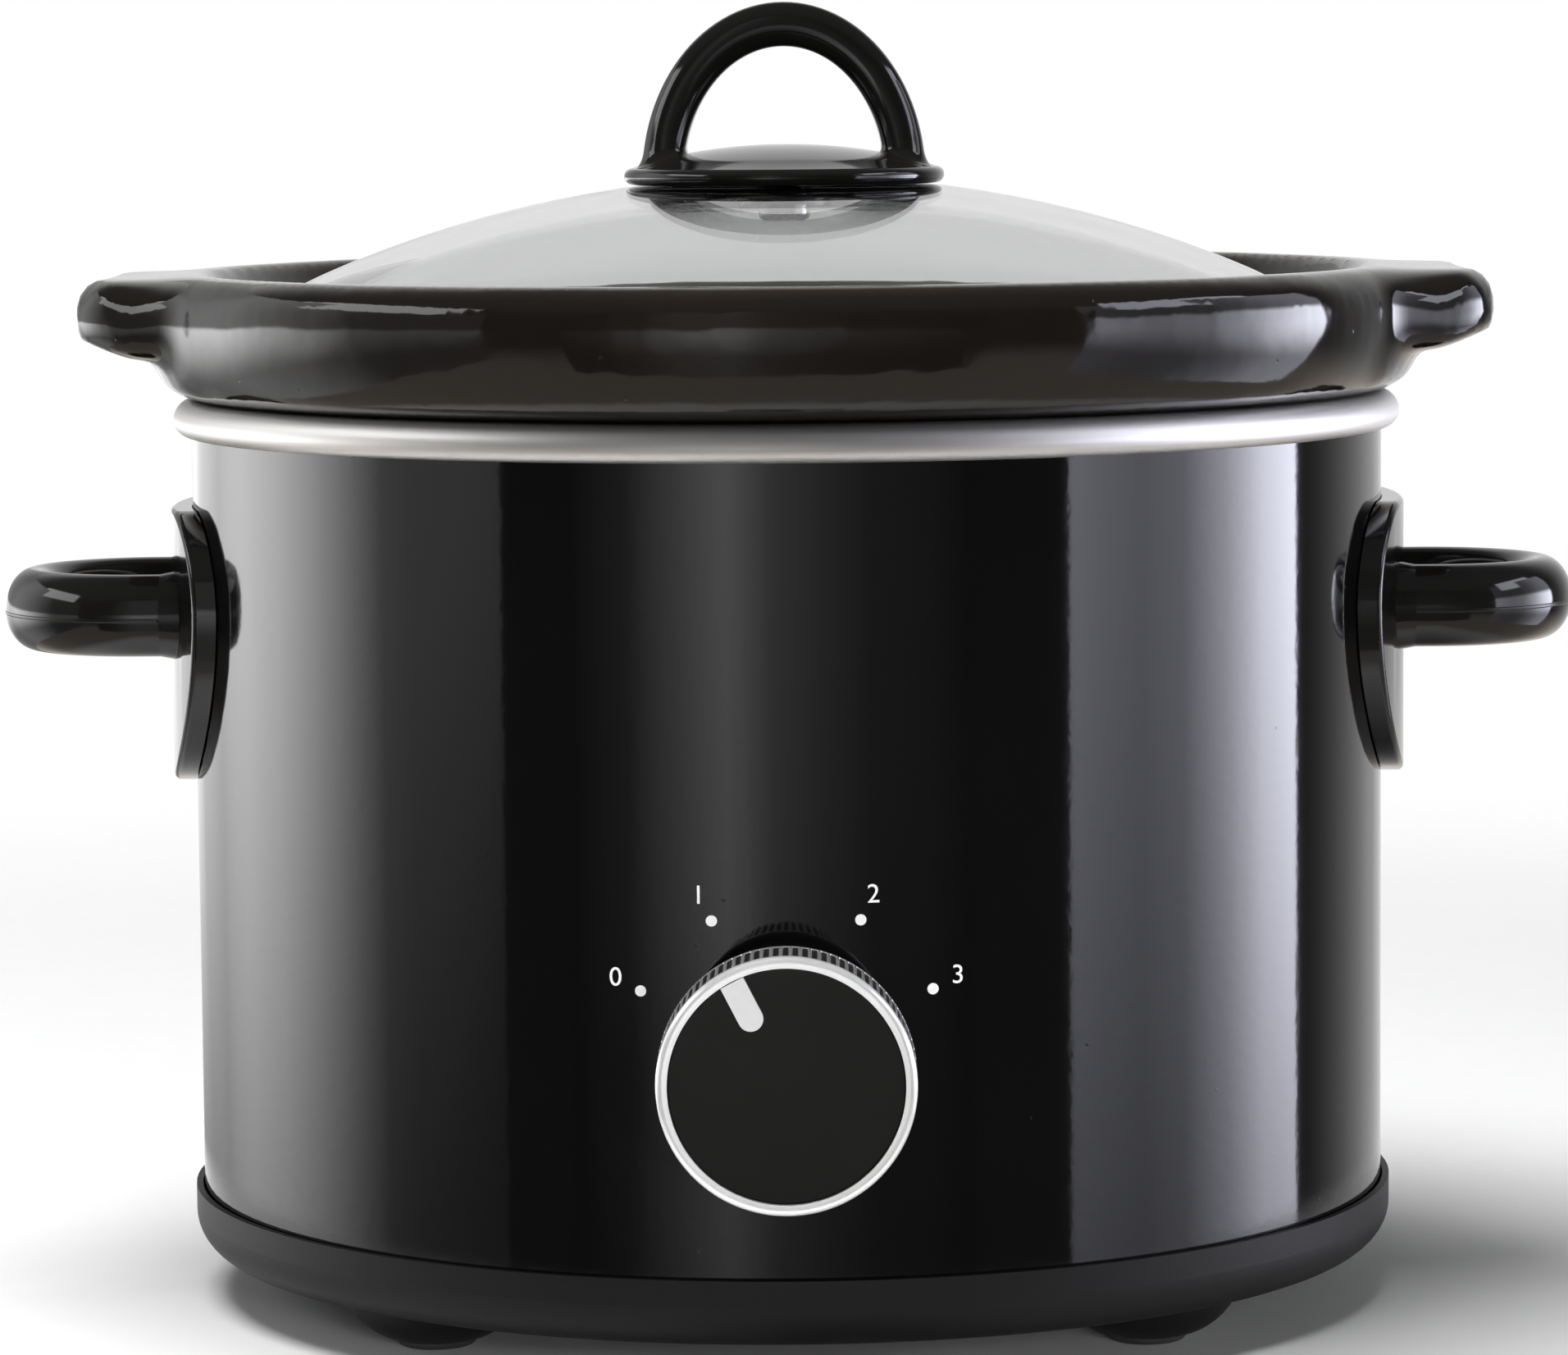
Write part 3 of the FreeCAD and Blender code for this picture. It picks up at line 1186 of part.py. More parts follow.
def lead(name, *route):
    """An insulated wire along straight runs joined by tangent arcs."""
    points = [FreeCAD.Vector(*(value(part) for part in place)) for place in route]
    bend = value("lead_bend")
    edges = []
    start = points[0]
    for before, corner, after in zip(points, points[1:], points[2:]):
        arriving = (corner - before).normalize()
        leaving = (after - corner).normalize()
        trim = bend * math.tan(arriving.getAngle(leaving) / 2)
        enter, leave = corner - arriving * trim, corner + leaving * trim
        inwards = (leaving - arriving).normalize()
        apex = corner + inwards * (math.hypot(bend, trim) - bend)
        edges.append(Part.LineSegment(start, enter).toShape())
        edges.append(Part.Arc(enter, apex, leave).toShape())
        start = leave
    edges.append(Part.LineSegment(start, points[-1]).toShape())
    section = Part.Wire(Part.Circle(points[0], points[1] - points[0], value("lead_radius")).toShape())
    item = doc.addObject("Part::Feature", f"{name}_wire")
    item.Shape = Part.Wire(edges).makePipeShell([section], True, False)
    piece(item, name)


def leads():
    """Two leads up to the ends of the heating band, and one back to the fuse."""
    end_radius = f"({well_outside('band_bottom')} + seat_gap + band_wall / 2)"
    riser = f"sqrt({end_radius}^2 - lead_side^2)"
    start = f"-{TAB_TIP} + seat_gap"
    back = f"-{TAB_TIP} + lead_setback"
    for name, side in (("lead_low", "-"), ("lead_high", "")):
        lead(name,
             (f"{side}tab_pitch", start, TAB_HEIGHT), (f"{side}tab_pitch", back, TAB_HEIGHT),
             (f"{side}lead_side", back, TAB_HEIGHT), (f"{side}lead_side", f"-{riser}", TAB_HEIGHT),
             (f"{side}lead_side", f"-{riser}", "band_bottom - seat_gap"))
    fuse_end = "-fuse_place - fuse_length / 2 - seat_gap"
    lead("lead_common",
         ("0", start, TAB_HEIGHT), ("0", back, TAB_HEIGHT),
         ("0", f"{fuse_end} - lead_setback", FUSE_HEIGHT), ("0", fuse_end, FUSE_HEIGHT))


def cord_inlet():
    """The bushing at the back where a supply cord would enter, and the nut that holds it."""
    tail = "(gland_length - gland_flange_wall)"
    mouth = "(gland_edge / 2)"
    gland = turned(
        "cord_gland_body",
        ("gland_bore", f"-{tail}"), ("gland_radius", f"-{tail}"), ("gland_radius", "seat_gap"),
        ("gland_flange", "seat_gap"), ("gland_flange", "gland_flange_wall - gland_edge"),
        ("gland_flange - gland_edge", "gland_flange_wall", "gland_edge", "left"),
        (f"gland_bore + {mouth}", "gland_flange_wall"),
        ("gland_bore", f"gland_flange_wall - {mouth}", mouth, "left"))
    piece(moved(gland, y="shell_radius", z="gland_height", axis=(1, 0, 0), angle=-90.0), "cord_gland")
    corner = "(gland_nut_across / 2 / cos(30))"
    nut_face = f"(sqrt({SHELL_INSIDE}^2 - {corner}^2) - seat_gap)"
    nut = hex_nut("gland_nut_hex", "gland_nut_across", "gland_nut_height", "gland_radius + running_gap")
    piece(moved(nut, y=nut_face, z="gland_height", axis=(1, 0, 0), angle=90.0), "gland_nut")


def build():
    base_pan()
    feet()
    outer_shell()
    heating_well()
    side_handle("handle_right", 0.0)
    side_handle("handle_left", 180.0)
    handle_fasteners()
    crock()
    lid_glass()
    lid_handle()
    lid_fasteners()
    knob()
    rotary_switch()
    element()
    center_tie()
    fuse()
    leads()
    cord_inlet()
    doc.recompute()


def write():
    """Check every object and every sub-part's shape, then write the sub-parts."""
    failed = [item.Name for item in doc.Objects if {"Invalid", "Error"} & set(item.State)]
    failed += [item.Label for item in pieces if item.Shape.isNull() or not item.Shape.isValid()]
    if failed:
        raise RuntimeError(f"not built: {', '.join(failed)}")
    os.makedirs("parts", exist_ok=True)
    for item in pieces:
        item.Shape.exportStep(f"parts/{item.Label}.step")
        print(item.Label, len(item.Shape.Solids), round(item.Shape.Volume, 1))


build()
write()
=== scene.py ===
import logging
import math
from dataclasses import dataclass
from enum import Enum
from typing import Sequence, Union

import bpy
from mathutils import Matrix, Vector


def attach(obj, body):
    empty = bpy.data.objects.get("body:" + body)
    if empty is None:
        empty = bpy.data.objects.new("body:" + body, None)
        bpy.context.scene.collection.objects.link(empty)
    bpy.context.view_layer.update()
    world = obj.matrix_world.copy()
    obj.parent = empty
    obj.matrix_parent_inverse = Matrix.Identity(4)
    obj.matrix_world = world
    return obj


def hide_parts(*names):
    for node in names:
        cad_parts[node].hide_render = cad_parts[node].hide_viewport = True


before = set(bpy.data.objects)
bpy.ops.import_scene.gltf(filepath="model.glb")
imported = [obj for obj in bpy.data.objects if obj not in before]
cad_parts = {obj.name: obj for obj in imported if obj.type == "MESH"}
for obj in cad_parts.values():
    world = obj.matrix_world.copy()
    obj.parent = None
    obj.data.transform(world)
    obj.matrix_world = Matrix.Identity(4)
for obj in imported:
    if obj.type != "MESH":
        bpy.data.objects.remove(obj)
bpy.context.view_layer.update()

LOG = logging.getLogger("slow_cooker")

Colour = tuple[float, float, float, float]
Outline = list[tuple[float, float]]
Span = tuple[float, float]
Value = Union["Wire", float, Sequence[float]]


def grey(level: float, warmth: float = 0.0) -> Colour:
    """A neutral colour, or one shifted a little to the warm side."""
    return (level * (1 + warmth), level, level * (1 - warmth), 1.0)


# Shader graphs

class Wire:
    """A shader socket that takes part in Python arithmetic."""

    def __init__(self, graph: "Graph", socket: bpy.types.NodeSocket) -> None:
        """Hold a socket and the graph that it belongs to."""
        self.graph = graph
        self.socket = socket

    def __add__(self, other: Value) -> "Wire":
        """self + other"""
        return self.graph.math("ADD", self, other)

    __radd__ = __add__

    def __sub__(self, other: Value) -> "Wire":
        """self - other"""
        return self.graph.math("SUBTRACT", self, other)

    def __rsub__(self, other: Value) -> "Wire":
        """other - self"""
        return self.graph.math("SUBTRACT", other, self)

    def __mul__(self, other: Value) -> "Wire":
        """self * other"""
        return self.graph.math("MULTIPLY", self, other)

    __rmul__ = __mul__

    def __truediv__(self, other: Value) -> "Wire":
        """self / other"""
        return self.graph.math("DIVIDE", self, other)

    def __rtruediv__(self, other: Value) -> "Wire":
        """other / self"""
        return self.graph.math("DIVIDE", other, self)


class Graph:
    """The node tree of one material or world, written by short calls."""

    def __init__(self, owner: bpy.types.Material | bpy.types.World) -> None:
        """Switch a material or a world to nodes and empty its tree.

        Args:
            owner: the material or the world.
        """
        owner.use_nodes = True
        self.tree = owner.node_tree
        self.tree.nodes.clear()

    def node(self, kind: str, settings: dict | None = None, sockets: dict | None = None,
             output: int | str = 0) -> Wire:
        """Add a node.

        Args:
            kind: the node's type, without the ShaderNode prefix.
            settings: properties set before the sockets; "stops" fills a colour ramp.
            sockets: values or wires by socket name or number; None leaves a socket as it is.
            output: the socket to hand back.

        Returns:
            The wire of the chosen output.
        """
        made = self.tree.nodes.new(f"ShaderNode{kind}")
        for name, setting in (settings or {}).items():
            if name == "stops":
                self._set_stops(made.color_ramp, setting)
            else:
                setattr(made, name, setting)
        for socket, amount in (sockets or {}).items():
            if isinstance(amount, Wire):
                self.tree.links.new(amount.socket, made.inputs[socket])
            elif amount is not None:
                made.inputs[socket].default_value = amount
        return Wire(self, made.outputs[output])

    @staticmethod
    def _set_stops(ramp: bpy.types.ColorRamp, stops: Sequence[tuple[float, Colour]]) -> None:
        """Fill a colour ramp.

        Args:
            ramp: the ramp, with its two first stops.
            stops: the place and colour of each stop.
        """
        while len(ramp.elements) < len(stops):
            ramp.elements.new(1.0)
        for element, (place, colour) in zip(ramp.elements, stops):
            element.position = place
            element.color = colour

    def math(self, operation: str, *values: Value) -> Wire:
        """One Math node on values or wires."""
        return self.node("Math", {"operation": operation}, dict(enumerate(values)))

    def place(self) -> Wire:
        """The place on the piece, in metres."""
        return self.node("TexCoord", output="Object")

    def axes(self, vector: Wire | None = None) -> tuple[Wire, Wire, Wire]:
        """A vector as three values; without one, the place on the piece."""
        split = self.node("SeparateXYZ", sockets={0: vector or self.place()})
        return tuple(Wire(self, socket) for socket in split.socket.node.outputs)

    def around(self) -> tuple[Wire, Wire, Wire]:
        """The place as distance from the pot's axis, height and angle in turns."""
        x, y, z = self.axes()
        return self.math("SQRT", x * x + y * y), z, self.math("ARCTAN2", y, x) / math.tau

    def vector(self, x: Value, y: Value, z: Value) -> Wire:
        """Three values as one vector."""
        return self.node("CombineXYZ", sockets={0: x, 1: y, 2: z})

    def noise(self, where: Wire, scale: float, detail: float = 2.0, rough: float = 0.5) -> Wire:
        """Cloudy noise from 0 to 1 at so many features per metre."""
        return self.node("TexNoise", sockets={
            "Vector": where, "Scale": scale, "Detail": detail, "Roughness": rough})

    def cells(self, where: Wire, scale: float, output: str = "Distance") -> Wire:
        """Scattered cells: the distance from the nearest middle, or with Color each cell's own colour."""
        return self.node("TexVoronoi", sockets={"Vector": where, "Scale": scale}, output=output)

    def step(self, value: Wire, low: float, high: float) -> Wire:
        """A smooth step from 0 at low to 1 at high; low may be the larger."""
        return self.node("MapRange", {"interpolation_type": "SMOOTHSTEP"},
                         {"Value": value, "From Min": low, "From Max": high})

    def mix(self, share: Value, first: Value, second: Value) -> Wire:
        """Blend two colours."""
        return self.node("Mix", {"data_type": "RGBA"}, {0: share, 6: first, 7: second}, output=2)

    def ramp(self, value: Wire, stops: Sequence[tuple[float, Colour]]) -> Wire:
        """Colour a value by stops."""
        return self.node("ValToRGB", {"stops": stops}, {0: value})

    def bump(self, height: Value, depth: float, over: Wire | None = None) -> Wire:
        """A normal that follows a height from 0 to 1, so many metres deep, over another normal."""
        return self.node("Bump", sockets={
            "Height": height, "Distance": depth, "Strength": 1.0, "Normal": over})

    def principled(self, **sockets: Value) -> Wire:
        """The main surface shader; underscores in names stand for spaces."""
        named = {name.replace("_", " "): amount for name, amount in sockets.items()}
        return self.node("BsdfPrincipled", sockets=named)

    def finish(self, shader: Wire, kind: str = "OutputMaterial") -> None:
        """Add an output node and send a shader to it."""
        made = self.tree.nodes.new(f"ShaderNode{kind}")
        self.tree.links.new(shader.socket, made.inputs["Surface"])


# Finishes

@dataclass(frozen=True)
class Finish:
    """A surface that can be laid on any piece."""

    name: str

    def shade(self, graph: Graph) -> Wire:
        """Write the finish into a graph and hand back its shader."""
        raise NotImplementedError

    def material(self) -> bpy.types.Material:
        """Make the finish as a material.

        Returns:
            The new material, under the finish's name.
        """
        made = bpy.data.materials.new(self.name)
        graph = Graph(made)
        graph.finish(self.shade(graph))
        return made


@dataclass(frozen=True)
class GlossEnamel(Finish):
    """Stoved black paint: deep, smooth, with a trace of orange peel and a few dust nibs."""

    dark: Colour = grey(0.0020)
    light: Colour = grey(0.0040)
    rough: float = 0.05

    def shade(self, graph: Graph) -> Wire:
        """Write the paint.

        Args:
            graph: the material's graph.

        Returns:
            The paint's shader.
        """
        place = graph.place()
        cloud = graph.noise(place, scale=11.0, detail=4.0)
        nibs = graph.step(graph.cells(place, scale=130.0), low=0.045, high=0.02)
        peel = graph.noise(place, scale=420.0)
        skin = graph.bump(peel, depth=9e-6)
        skin = graph.bump(nibs, depth=1.2e-5, over=skin)
        return graph.principled(
            Base_Color=graph.mix(cloud, self.dark, self.light),
            Roughness=self.rough + 0.03 * cloud + 0.12 * nibs,
            Normal=skin)


@dataclass(frozen=True)
class SpunMetal(Finish):
    """Drawn sheet with fine turning lines round the pot's axis."""

    dark: Colour = grey(0.76, 0.02)
    light: Colour = grey(0.95, 0.02)
    rough: float = 0.36
    line_turn: float = 0.004
    broad_turn: float = 0.03

    def shade(self, graph: Graph) -> Wire:
        """Write the metal.

        Args:
            graph: the material's graph.

        Returns:
            The metal's shader.
        """
        radius, height, turn = graph.around()
        lines = graph.noise(graph.vector(radius, height, turn * self.line_turn),
                            scale=1900.0, detail=3.0, rough=0.6)
        broad = graph.noise(graph.vector(radius, height, turn * self.broad_turn), scale=240.0)
        cloud = graph.noise(graph.place(), scale=26.0, detail=3.0)
        tone = 0.55 * lines + 0.25 * broad + 0.2 * cloud
        return graph.principled(
            Base_Color=graph.mix(tone, self.dark, self.light), Metallic=1.0,
            Roughness=self.rough + 0.16 * lines + 0.08 * cloud,
            Normal=graph.bump(lines, depth=9e-6))


@dataclass(frozen=True)
class MouldedPlastic(Finish):
    """Spark-eroded moulding: fine even grain, with a roughness that wanders a little at random."""

    dark: Colour = grey(0.012)
    light: Colour = grey(0.022)
    rough: float = 0.36
    shine: float = 0.5
    grain: float = 2600.0
    pit_share: float = 0.55
    depth: float = 2.2e-5

    def shade(self, graph: Graph) -> Wire:
        """Write the plastic.

        Args:
            graph: the material's graph.

        Returns:
            The plastic's shader.
        """
        place = graph.place()
        cloud = graph.noise(place, scale=17.0, detail=3.0)
        grain = graph.noise(place, self.grain, rough=0.6)
        pits = graph.cells(place, self.grain * self.pit_share)
        return graph.principled(
            Base_Color=graph.mix(0.6 * cloud + 0.4 * grain, self.dark, self.light),
            Roughness=self.rough + 0.12 * grain + 0.06 * cloud,
            Normal=graph.bump(0.6 * grain + 0.4 * pits, self.depth), Specular_IOR_Level=self.shine)


@dataclass(frozen=True)
class PolishedPlastic(Finish):
    """Glossy phenolic moulding with soft flow ripples, hair scratches and the mould's parting line."""

    dark: Colour = grey(0.0040, 0.06)
    light: Colour = grey(0.0080, 0.06)
    rough: float = 0.055
    shine: float = 0.5
    parting: float = -1.0
    parting_from: float = 0.105
    parting_fade: float = 0.0005
    parting_wide: float = 0.00016

    def shade(self, graph: Graph) -> Wire:
        """Write the plastic.

        Args:
            graph: the material's graph.

        Returns:
            The plastic's shader.
        """
        place = graph.place()
        cloud = graph.noise(place, scale=30.0, detail=3.0)
        flow = graph.noise(place, scale=95.0)
        x, y, z = graph.axes()
        slanted = graph.vector(x * 0.06 + z * 0.02, y * 1.3 + x * 0.3, z * 1.1)
        hairs = graph.noise(slanted, scale=2300.0, detail=1.0)
        scratch = graph.step(hairs, low=0.70, high=0.78)
        from_line = graph.math("ABSOLUTE", z - self.parting)
        outwards = graph.math("ABSOLUTE", x)
        ridge = graph.step(from_line, low=2 * self.parting_wide, high=self.parting_wide)
        ridge = ridge * graph.step(outwards, self.parting_from, self.parting_from + self.parting_fade)
        skin = graph.bump(flow, depth=3.0e-5)
        skin = graph.bump(scratch, depth=2.0e-6, over=skin)
        skin = graph.bump(ridge, depth=1.2e-4, over=skin)
        return graph.principled(
            Base_Color=graph.mix(cloud, self.dark, self.light),
            Roughness=self.rough + 0.05 * cloud + 0.10 * scratch + 0.15 * ridge,
            Normal=skin, Specular_IOR_Level=self.shine)


@dataclass(frozen=True)
class Glaze(Finish):
    """Black stoneware glaze that ripples a little, breaks brown on edges and stops short of the foot."""

    deep: Colour = (0.0062, 0.0050, 0.0042, 1.0)
    thin: Colour = (0.021, 0.0155, 0.0115, 1.0)
    biscuit: Colour = (0.52, 0.43, 0.32, 1.0)
    grog: Colour = (0.33, 0.25, 0.18, 1.0)
    foot_line: float = 0.0592
    foot_fade: float = 0.0004
    foot_waver: float = 0.0008
    lip_line: float = 0.1722
    lip_fade: float = 0.0022
    lip_waver: float = 0.0012
    rough: float = 0.055
    bare_rough: float = 0.82

    def shade(self, graph: Graph) -> Wire:
        """Write the glaze over the bare foot.

        Args:
            graph: the material's graph.

        Returns:
            The shader of the glaze and the foot.
        """
        place = graph.place()
        height = graph.axes()[2]
        ripple = graph.noise(place, scale=62.0, rough=0.45)
        dimple = graph.noise(place, scale=260.0)
        cloud = graph.noise(place, scale=24.0, detail=4.0)
        pinholes = graph.step(graph.cells(place, scale=150.0), low=0.055, high=0.03)
        lip_height = height + self.lip_waver * cloud
        edge = graph.step(lip_height, self.lip_line, self.lip_line + self.lip_fade)
        foot_height = height + self.foot_waver * dimple
        glazed = graph.step(foot_height, self.foot_line, self.foot_line + self.foot_fade)
        specks = graph.step(graph.cells(place, scale=620.0), low=0.26, high=0.16)
        clay = graph.mix(0.55 * specks + 0.3 * cloud, self.biscuit, self.grog)
        glass = graph.mix(0.55 * edge + 0.35 * cloud * cloud, self.deep, self.thin)
        skin = graph.bump(ripple, depth=2.6e-4)
        skin = graph.bump(dimple, depth=1.6e-5, over=skin)
        skin = graph.bump(1 - pinholes, depth=4.0e-5, over=skin)
        polish = self.bare_rough - self.rough - 0.05 * cloud - 0.1 * pinholes
        return graph.principled(
            Base_Color=graph.mix(glazed, clay, glass),
            Roughness=self.bare_rough - glazed * polish,
            Normal=skin)


@dataclass(frozen=True)
class ClearGlass(Finish):
    """Tempered lid glass: clear, very slightly green, with a breath of haze."""

    tint: Colour = (0.955, 0.975, 0.965, 1.0)
    clear: Colour = grey(0.985)
    haze: float = 0.012
    refraction: float = 1.5

    def shade(self, graph: Graph) -> Wire:
        """Write the glass.

        Args:
            graph: the material's graph.

        Returns:
            The glass's shader.
        """
        place = graph.place()
        smear = graph.noise(place, scale=34.0, detail=4.0, rough=0.6)
        roll = graph.noise(place, scale=46.0, detail=1.0)
        return graph.principled(
            Base_Color=graph.mix(smear, self.tint, self.clear),
            Roughness=self.haze * smear,
            Normal=graph.bump(roll, depth=2.0e-5), Transmission_Weight=1.0, IOR=self.refraction)


@dataclass(frozen=True)
class BrightMetal(Finish):
    """Plated or rolled metal with faint clouding, wipe marks and a set roughness."""

    dark: Colour = grey(0.55)
    light: Colour = grey(0.80)
    rough: float = 0.12
    grain: float = 900.0
    metallic: float = 1.0

    def shade(self, graph: Graph) -> Wire:
        """Write the metal.

        Args:
            graph: the material's graph.

        Returns:
            The metal's shader.
        """
        place = graph.place()
        cloud = graph.noise(place, scale=70.0, detail=3.0)
        grain = graph.noise(place, self.grain, detail=3.0, rough=0.65)
        return graph.principled(
            Base_Color=graph.mix(0.5 * cloud + 0.5 * grain, self.dark, self.light), Metallic=self.metallic,
            Roughness=self.rough + 0.10 * cloud + 0.08 * grain,
            Normal=graph.bump(grain, depth=4.0e-6))


@dataclass(frozen=True)
class KnurledMetal(Finish):
    """Bright plate on a dial's ring: mirror flutes with bottoms painted dark as shade, behind a satin front
    lip.
    """

    dark: Colour = grey(0.84)
    light: Colour = grey(0.95)
    # painted shade: the colour that the flute bottoms are darkened to, standing in for the shade inside the
    # grooves
    soot: Colour = grey(0.05)
    rough: float = 0.14
    axis_height: float = 0.0523
    outer: float = 0.0201
    groove: Span = (0.00004, 0.00022)
    lip: Span = (0.1200, 0.1204)
    ring_metallic: float = 0.72
    lip_metallic: float = 0.58

    def shade(self, graph: Graph) -> Wire:
        """Write the plate.

        Args:
            graph: the material's graph.

        Returns:
            The plate's shader.
        """
        x, y, z = graph.axes()
        rise = z - self.axis_height
        inset = self.outer - graph.math("SQRT", x * x + rise * rise)
        lip = graph.step(-1.0 * y, *self.lip)
        # painted shade: this mask colours the flute bottoms dark where shade falls in the grooves; it also
        # makes them rougher
        groove = graph.step(inset, *self.groove) * (1.0 - lip)
        place = graph.place()
        cloud = graph.noise(place, scale=70.0, detail=3.0)
        grain = graph.noise(place, scale=240.0, detail=3.0, rough=0.65)
        plate = graph.mix(0.5 * cloud + 0.5 * grain, self.dark, self.light)
        return graph.principled(
            Base_Color=graph.mix(groove, plate, self.soot),
            Metallic=self.ring_metallic + (self.lip_metallic - self.ring_metallic) * lip,
            Roughness=self.rough + 0.10 * cloud + 0.08 * grain + 0.3 * groove,
            Normal=graph.bump(grain, depth=4.0e-6))


@dataclass(frozen=True)
class SpangledSteel(Finish):
    """Zinc plate: dull crystals of slightly different greys."""

    dark: Colour = (0.42, 0.43, 0.45, 1.0)
    light: Colour = (0.66, 0.66, 0.65, 1.0)
    rough: float = 0.30
    crystal: float = 420.0

    def shade(self, graph: Graph) -> Wire:
        """Write the plating.

        Args:
            graph: the material's graph.

        Returns:
            The plating's shader.
        """
        place = graph.place()
        tone = graph.node("RGBToBW", sockets={0: graph.cells(place, self.crystal, output="Color")})
        grain = graph.noise(place, scale=1800.0)
        return graph.principled(
            Base_Color=graph.mix(0.6 * tone + 0.4 * grain, self.dark, self.light), Metallic=1.0,
            Roughness=self.rough + 0.18 * tone,
            Normal=graph.bump(grain, depth=8.0e-6))


@dataclass(frozen=True)
class Rubber(Finish):
    """Soft black rubber with bloom."""

    dark: Colour = grey(0.016)
    light: Colour = grey(0.045)
    rough: float = 0.62

    def shade(self, graph: Graph) -> Wire:
        """Write the rubber.

        Args:
            graph: the material's graph.

        Returns:
            The rubber's shader.
        """
        place = graph.place()
        bloom = graph.noise(place, scale=160.0, detail=4.0, rough=0.6)
        grain = graph.noise(place, scale=2100.0)
        return graph.principled(
            Base_Color=graph.mix(bloom, self.dark, self.light),
            Roughness=self.rough + 0.2 * bloom,
            Normal=graph.bump(grain, depth=2.5e-5))


@dataclass(frozen=True)
class WovenCloth(Finish):
    """Woven glass-fibre tape or sleeve, with strands over and under."""

    dark: Colour = (0.46, 0.43, 0.37, 1.0)
    light: Colour = (0.80, 0.77, 0.70, 1.0)
    rough: float = 0.80
    pitch: float = 900.0
    round_share: float = 0.09

    def shade(self, graph: Graph) -> Wire:
        """Write the weave, which runs round the pot and up its wall.

        Args:
            graph: the material's graph.

        Returns:
            The weave's shader.
        """
        _, height, turn = graph.around()
        across = graph.math("SINE", turn * (math.tau * self.round_share * self.pitch))
        along = graph.math("SINE", height * (math.tau * self.pitch))
        weave = 0.5 + 0.5 * across * along
        fibre = graph.noise(graph.place(), scale=4200.0)
        return graph.principled(
            Base_Color=graph.mix(0.65 * weave + 0.35 * fibre, self.dark, self.light),
            Roughness=self.rough + 0.12 * fibre,
            Normal=graph.bump(0.7 * weave + 0.3 * fibre, depth=2.4e-4))


@dataclass(frozen=True)
class PrintInk(Finish):
    """Pad-printed white ink, very slightly uneven."""

    thick: Colour = grey(0.88)
    thin: Colour = grey(0.76)
    rough: float = 0.34

    def shade(self, graph: Graph) -> Wire:
        """Write the ink.

        Args:
            graph: the material's graph.

        Returns:
            The ink's shader.
        """
        mottle = graph.noise(graph.place(), scale=1500.0, detail=3.0)
        return graph.principled(
            Base_Color=graph.mix(mottle, self.thick, self.thin),
            Roughness=self.rough + 0.12 * mottle,
            Normal=graph.bump(mottle, depth=4.0e-6))


@dataclass(frozen=True)
class FloorPaper(Finish):
    """Pale paper that fades out before its edge, sooner in mirrors, and can't be seen from below."""

    dark: Colour = grey(0.84)
    light: Colour = grey(0.87)
    rough: float = 0.7
    fade: Span = (0.32, 0.75)
    mirrored_fade: Span = (0.16, 0.20)

    def shade(self, graph: Graph) -> Wire:
        """Write the paper.

        Args:
            graph: the material's graph.

        Returns:
            The paper's shader.
        """
        radius = graph.around()[0]
        paper = graph.noise(graph.place(), scale=90.0, detail=4.0)
        sheet = graph.principled(Base_Color=graph.mix(paper, self.dark, self.light), Roughness=self.rough)
        clear = graph.node("BsdfTransparent")
        fade = graph.step(radius, *self.fade)
        mirrored = graph.node("LightPath", output="Is Glossy Ray")
        fade = fade + mirrored * (graph.step(radius, *self.mirrored_fade) - fade)
        fade = graph.math("MAXIMUM", fade, graph.node("NewGeometry", output="Backfacing"))
        return graph.node("MixShader", sockets={0: fade, 1: sheet, 2: clear})


# Modelling helpers

class Body(Enum):
    """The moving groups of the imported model."""

    BASE = "base"
    KNOB = "knob"
    CROCK = "crock"
    LID = "lid"


def leave_edit() -> None:
    """Go back to object mode."""
    bpy.ops.object.mode_set(mode="OBJECT")


def deselect_all() -> None:
    """Leave edit mode and deselect every object."""
    if bpy.context.object and bpy.context.object.mode != "OBJECT":
        leave_edit()
    bpy.ops.object.select_all(action="DESELECT")


def make_active(piece: bpy.types.Object) -> bpy.types.Object:
    """Select one object alone and make it the active one.

    Args:
        piece: the object.

    Returns:
        The same object.
    """
    deselect_all()
    piece.select_set(True)
    bpy.context.view_layer.objects.active = piece
    return piece


def edit_all(piece: bpy.types.Object) -> None:
    """Enter edit mode on a piece with everything selected.

    Args:
        piece: the piece.
    """
    make_active(piece)
    bpy.ops.object.mode_set(mode="EDIT")
    bpy.ops.mesh.select_all(action="SELECT")


def edit_points(piece: bpy.types.Object, chosen: Sequence[bool]) -> None:
    """Enter edit mode on a piece with only some of its points selected.

    Args:
        piece: the piece.
        chosen: whether each point is selected, in the mesh's order.
    """
    make_active(piece)
    bpy.ops.object.mode_set(mode="EDIT")
    bpy.ops.mesh.select_all(action="DESELECT")
    leave_edit()
    piece.data.vertices.foreach_set("select", chosen)
    bpy.ops.object.mode_set(mode="EDIT")


def settle(piece: bpy.types.Object) -> bpy.types.Object:
    """Put a piece's place, turn and scale into its mesh.

    Args:
        piece: the piece.

    Returns:
        The same piece, at the origin.
    """
    make_active(piece)
    bpy.ops.object.transform_apply(location=True, rotation=True, scale=True)
    return piece


def smooth(piece: bpy.types.Object, angle: float) -> None:
    """Shade a piece smooth across every edge that turns by less than an angle in degrees."""
    make_active(piece)
    bpy.ops.object.shade_smooth_by_angle(angle=math.radians(angle))


def apply_modifier(piece: bpy.types.Object, kind: str, **settings: object) -> None:
    """Add a modifier to a piece and apply it.

    Args:
        piece: the piece.
        kind: the modifier's type.
        settings: the modifier's properties.
    """
    make_active(piece)
    modifier = piece.modifiers.new(kind.lower(), kind)
    for name, setting in settings.items():
        setattr(modifier, name, setting)
    bpy.ops.object.modifier_apply(modifier=modifier.name)


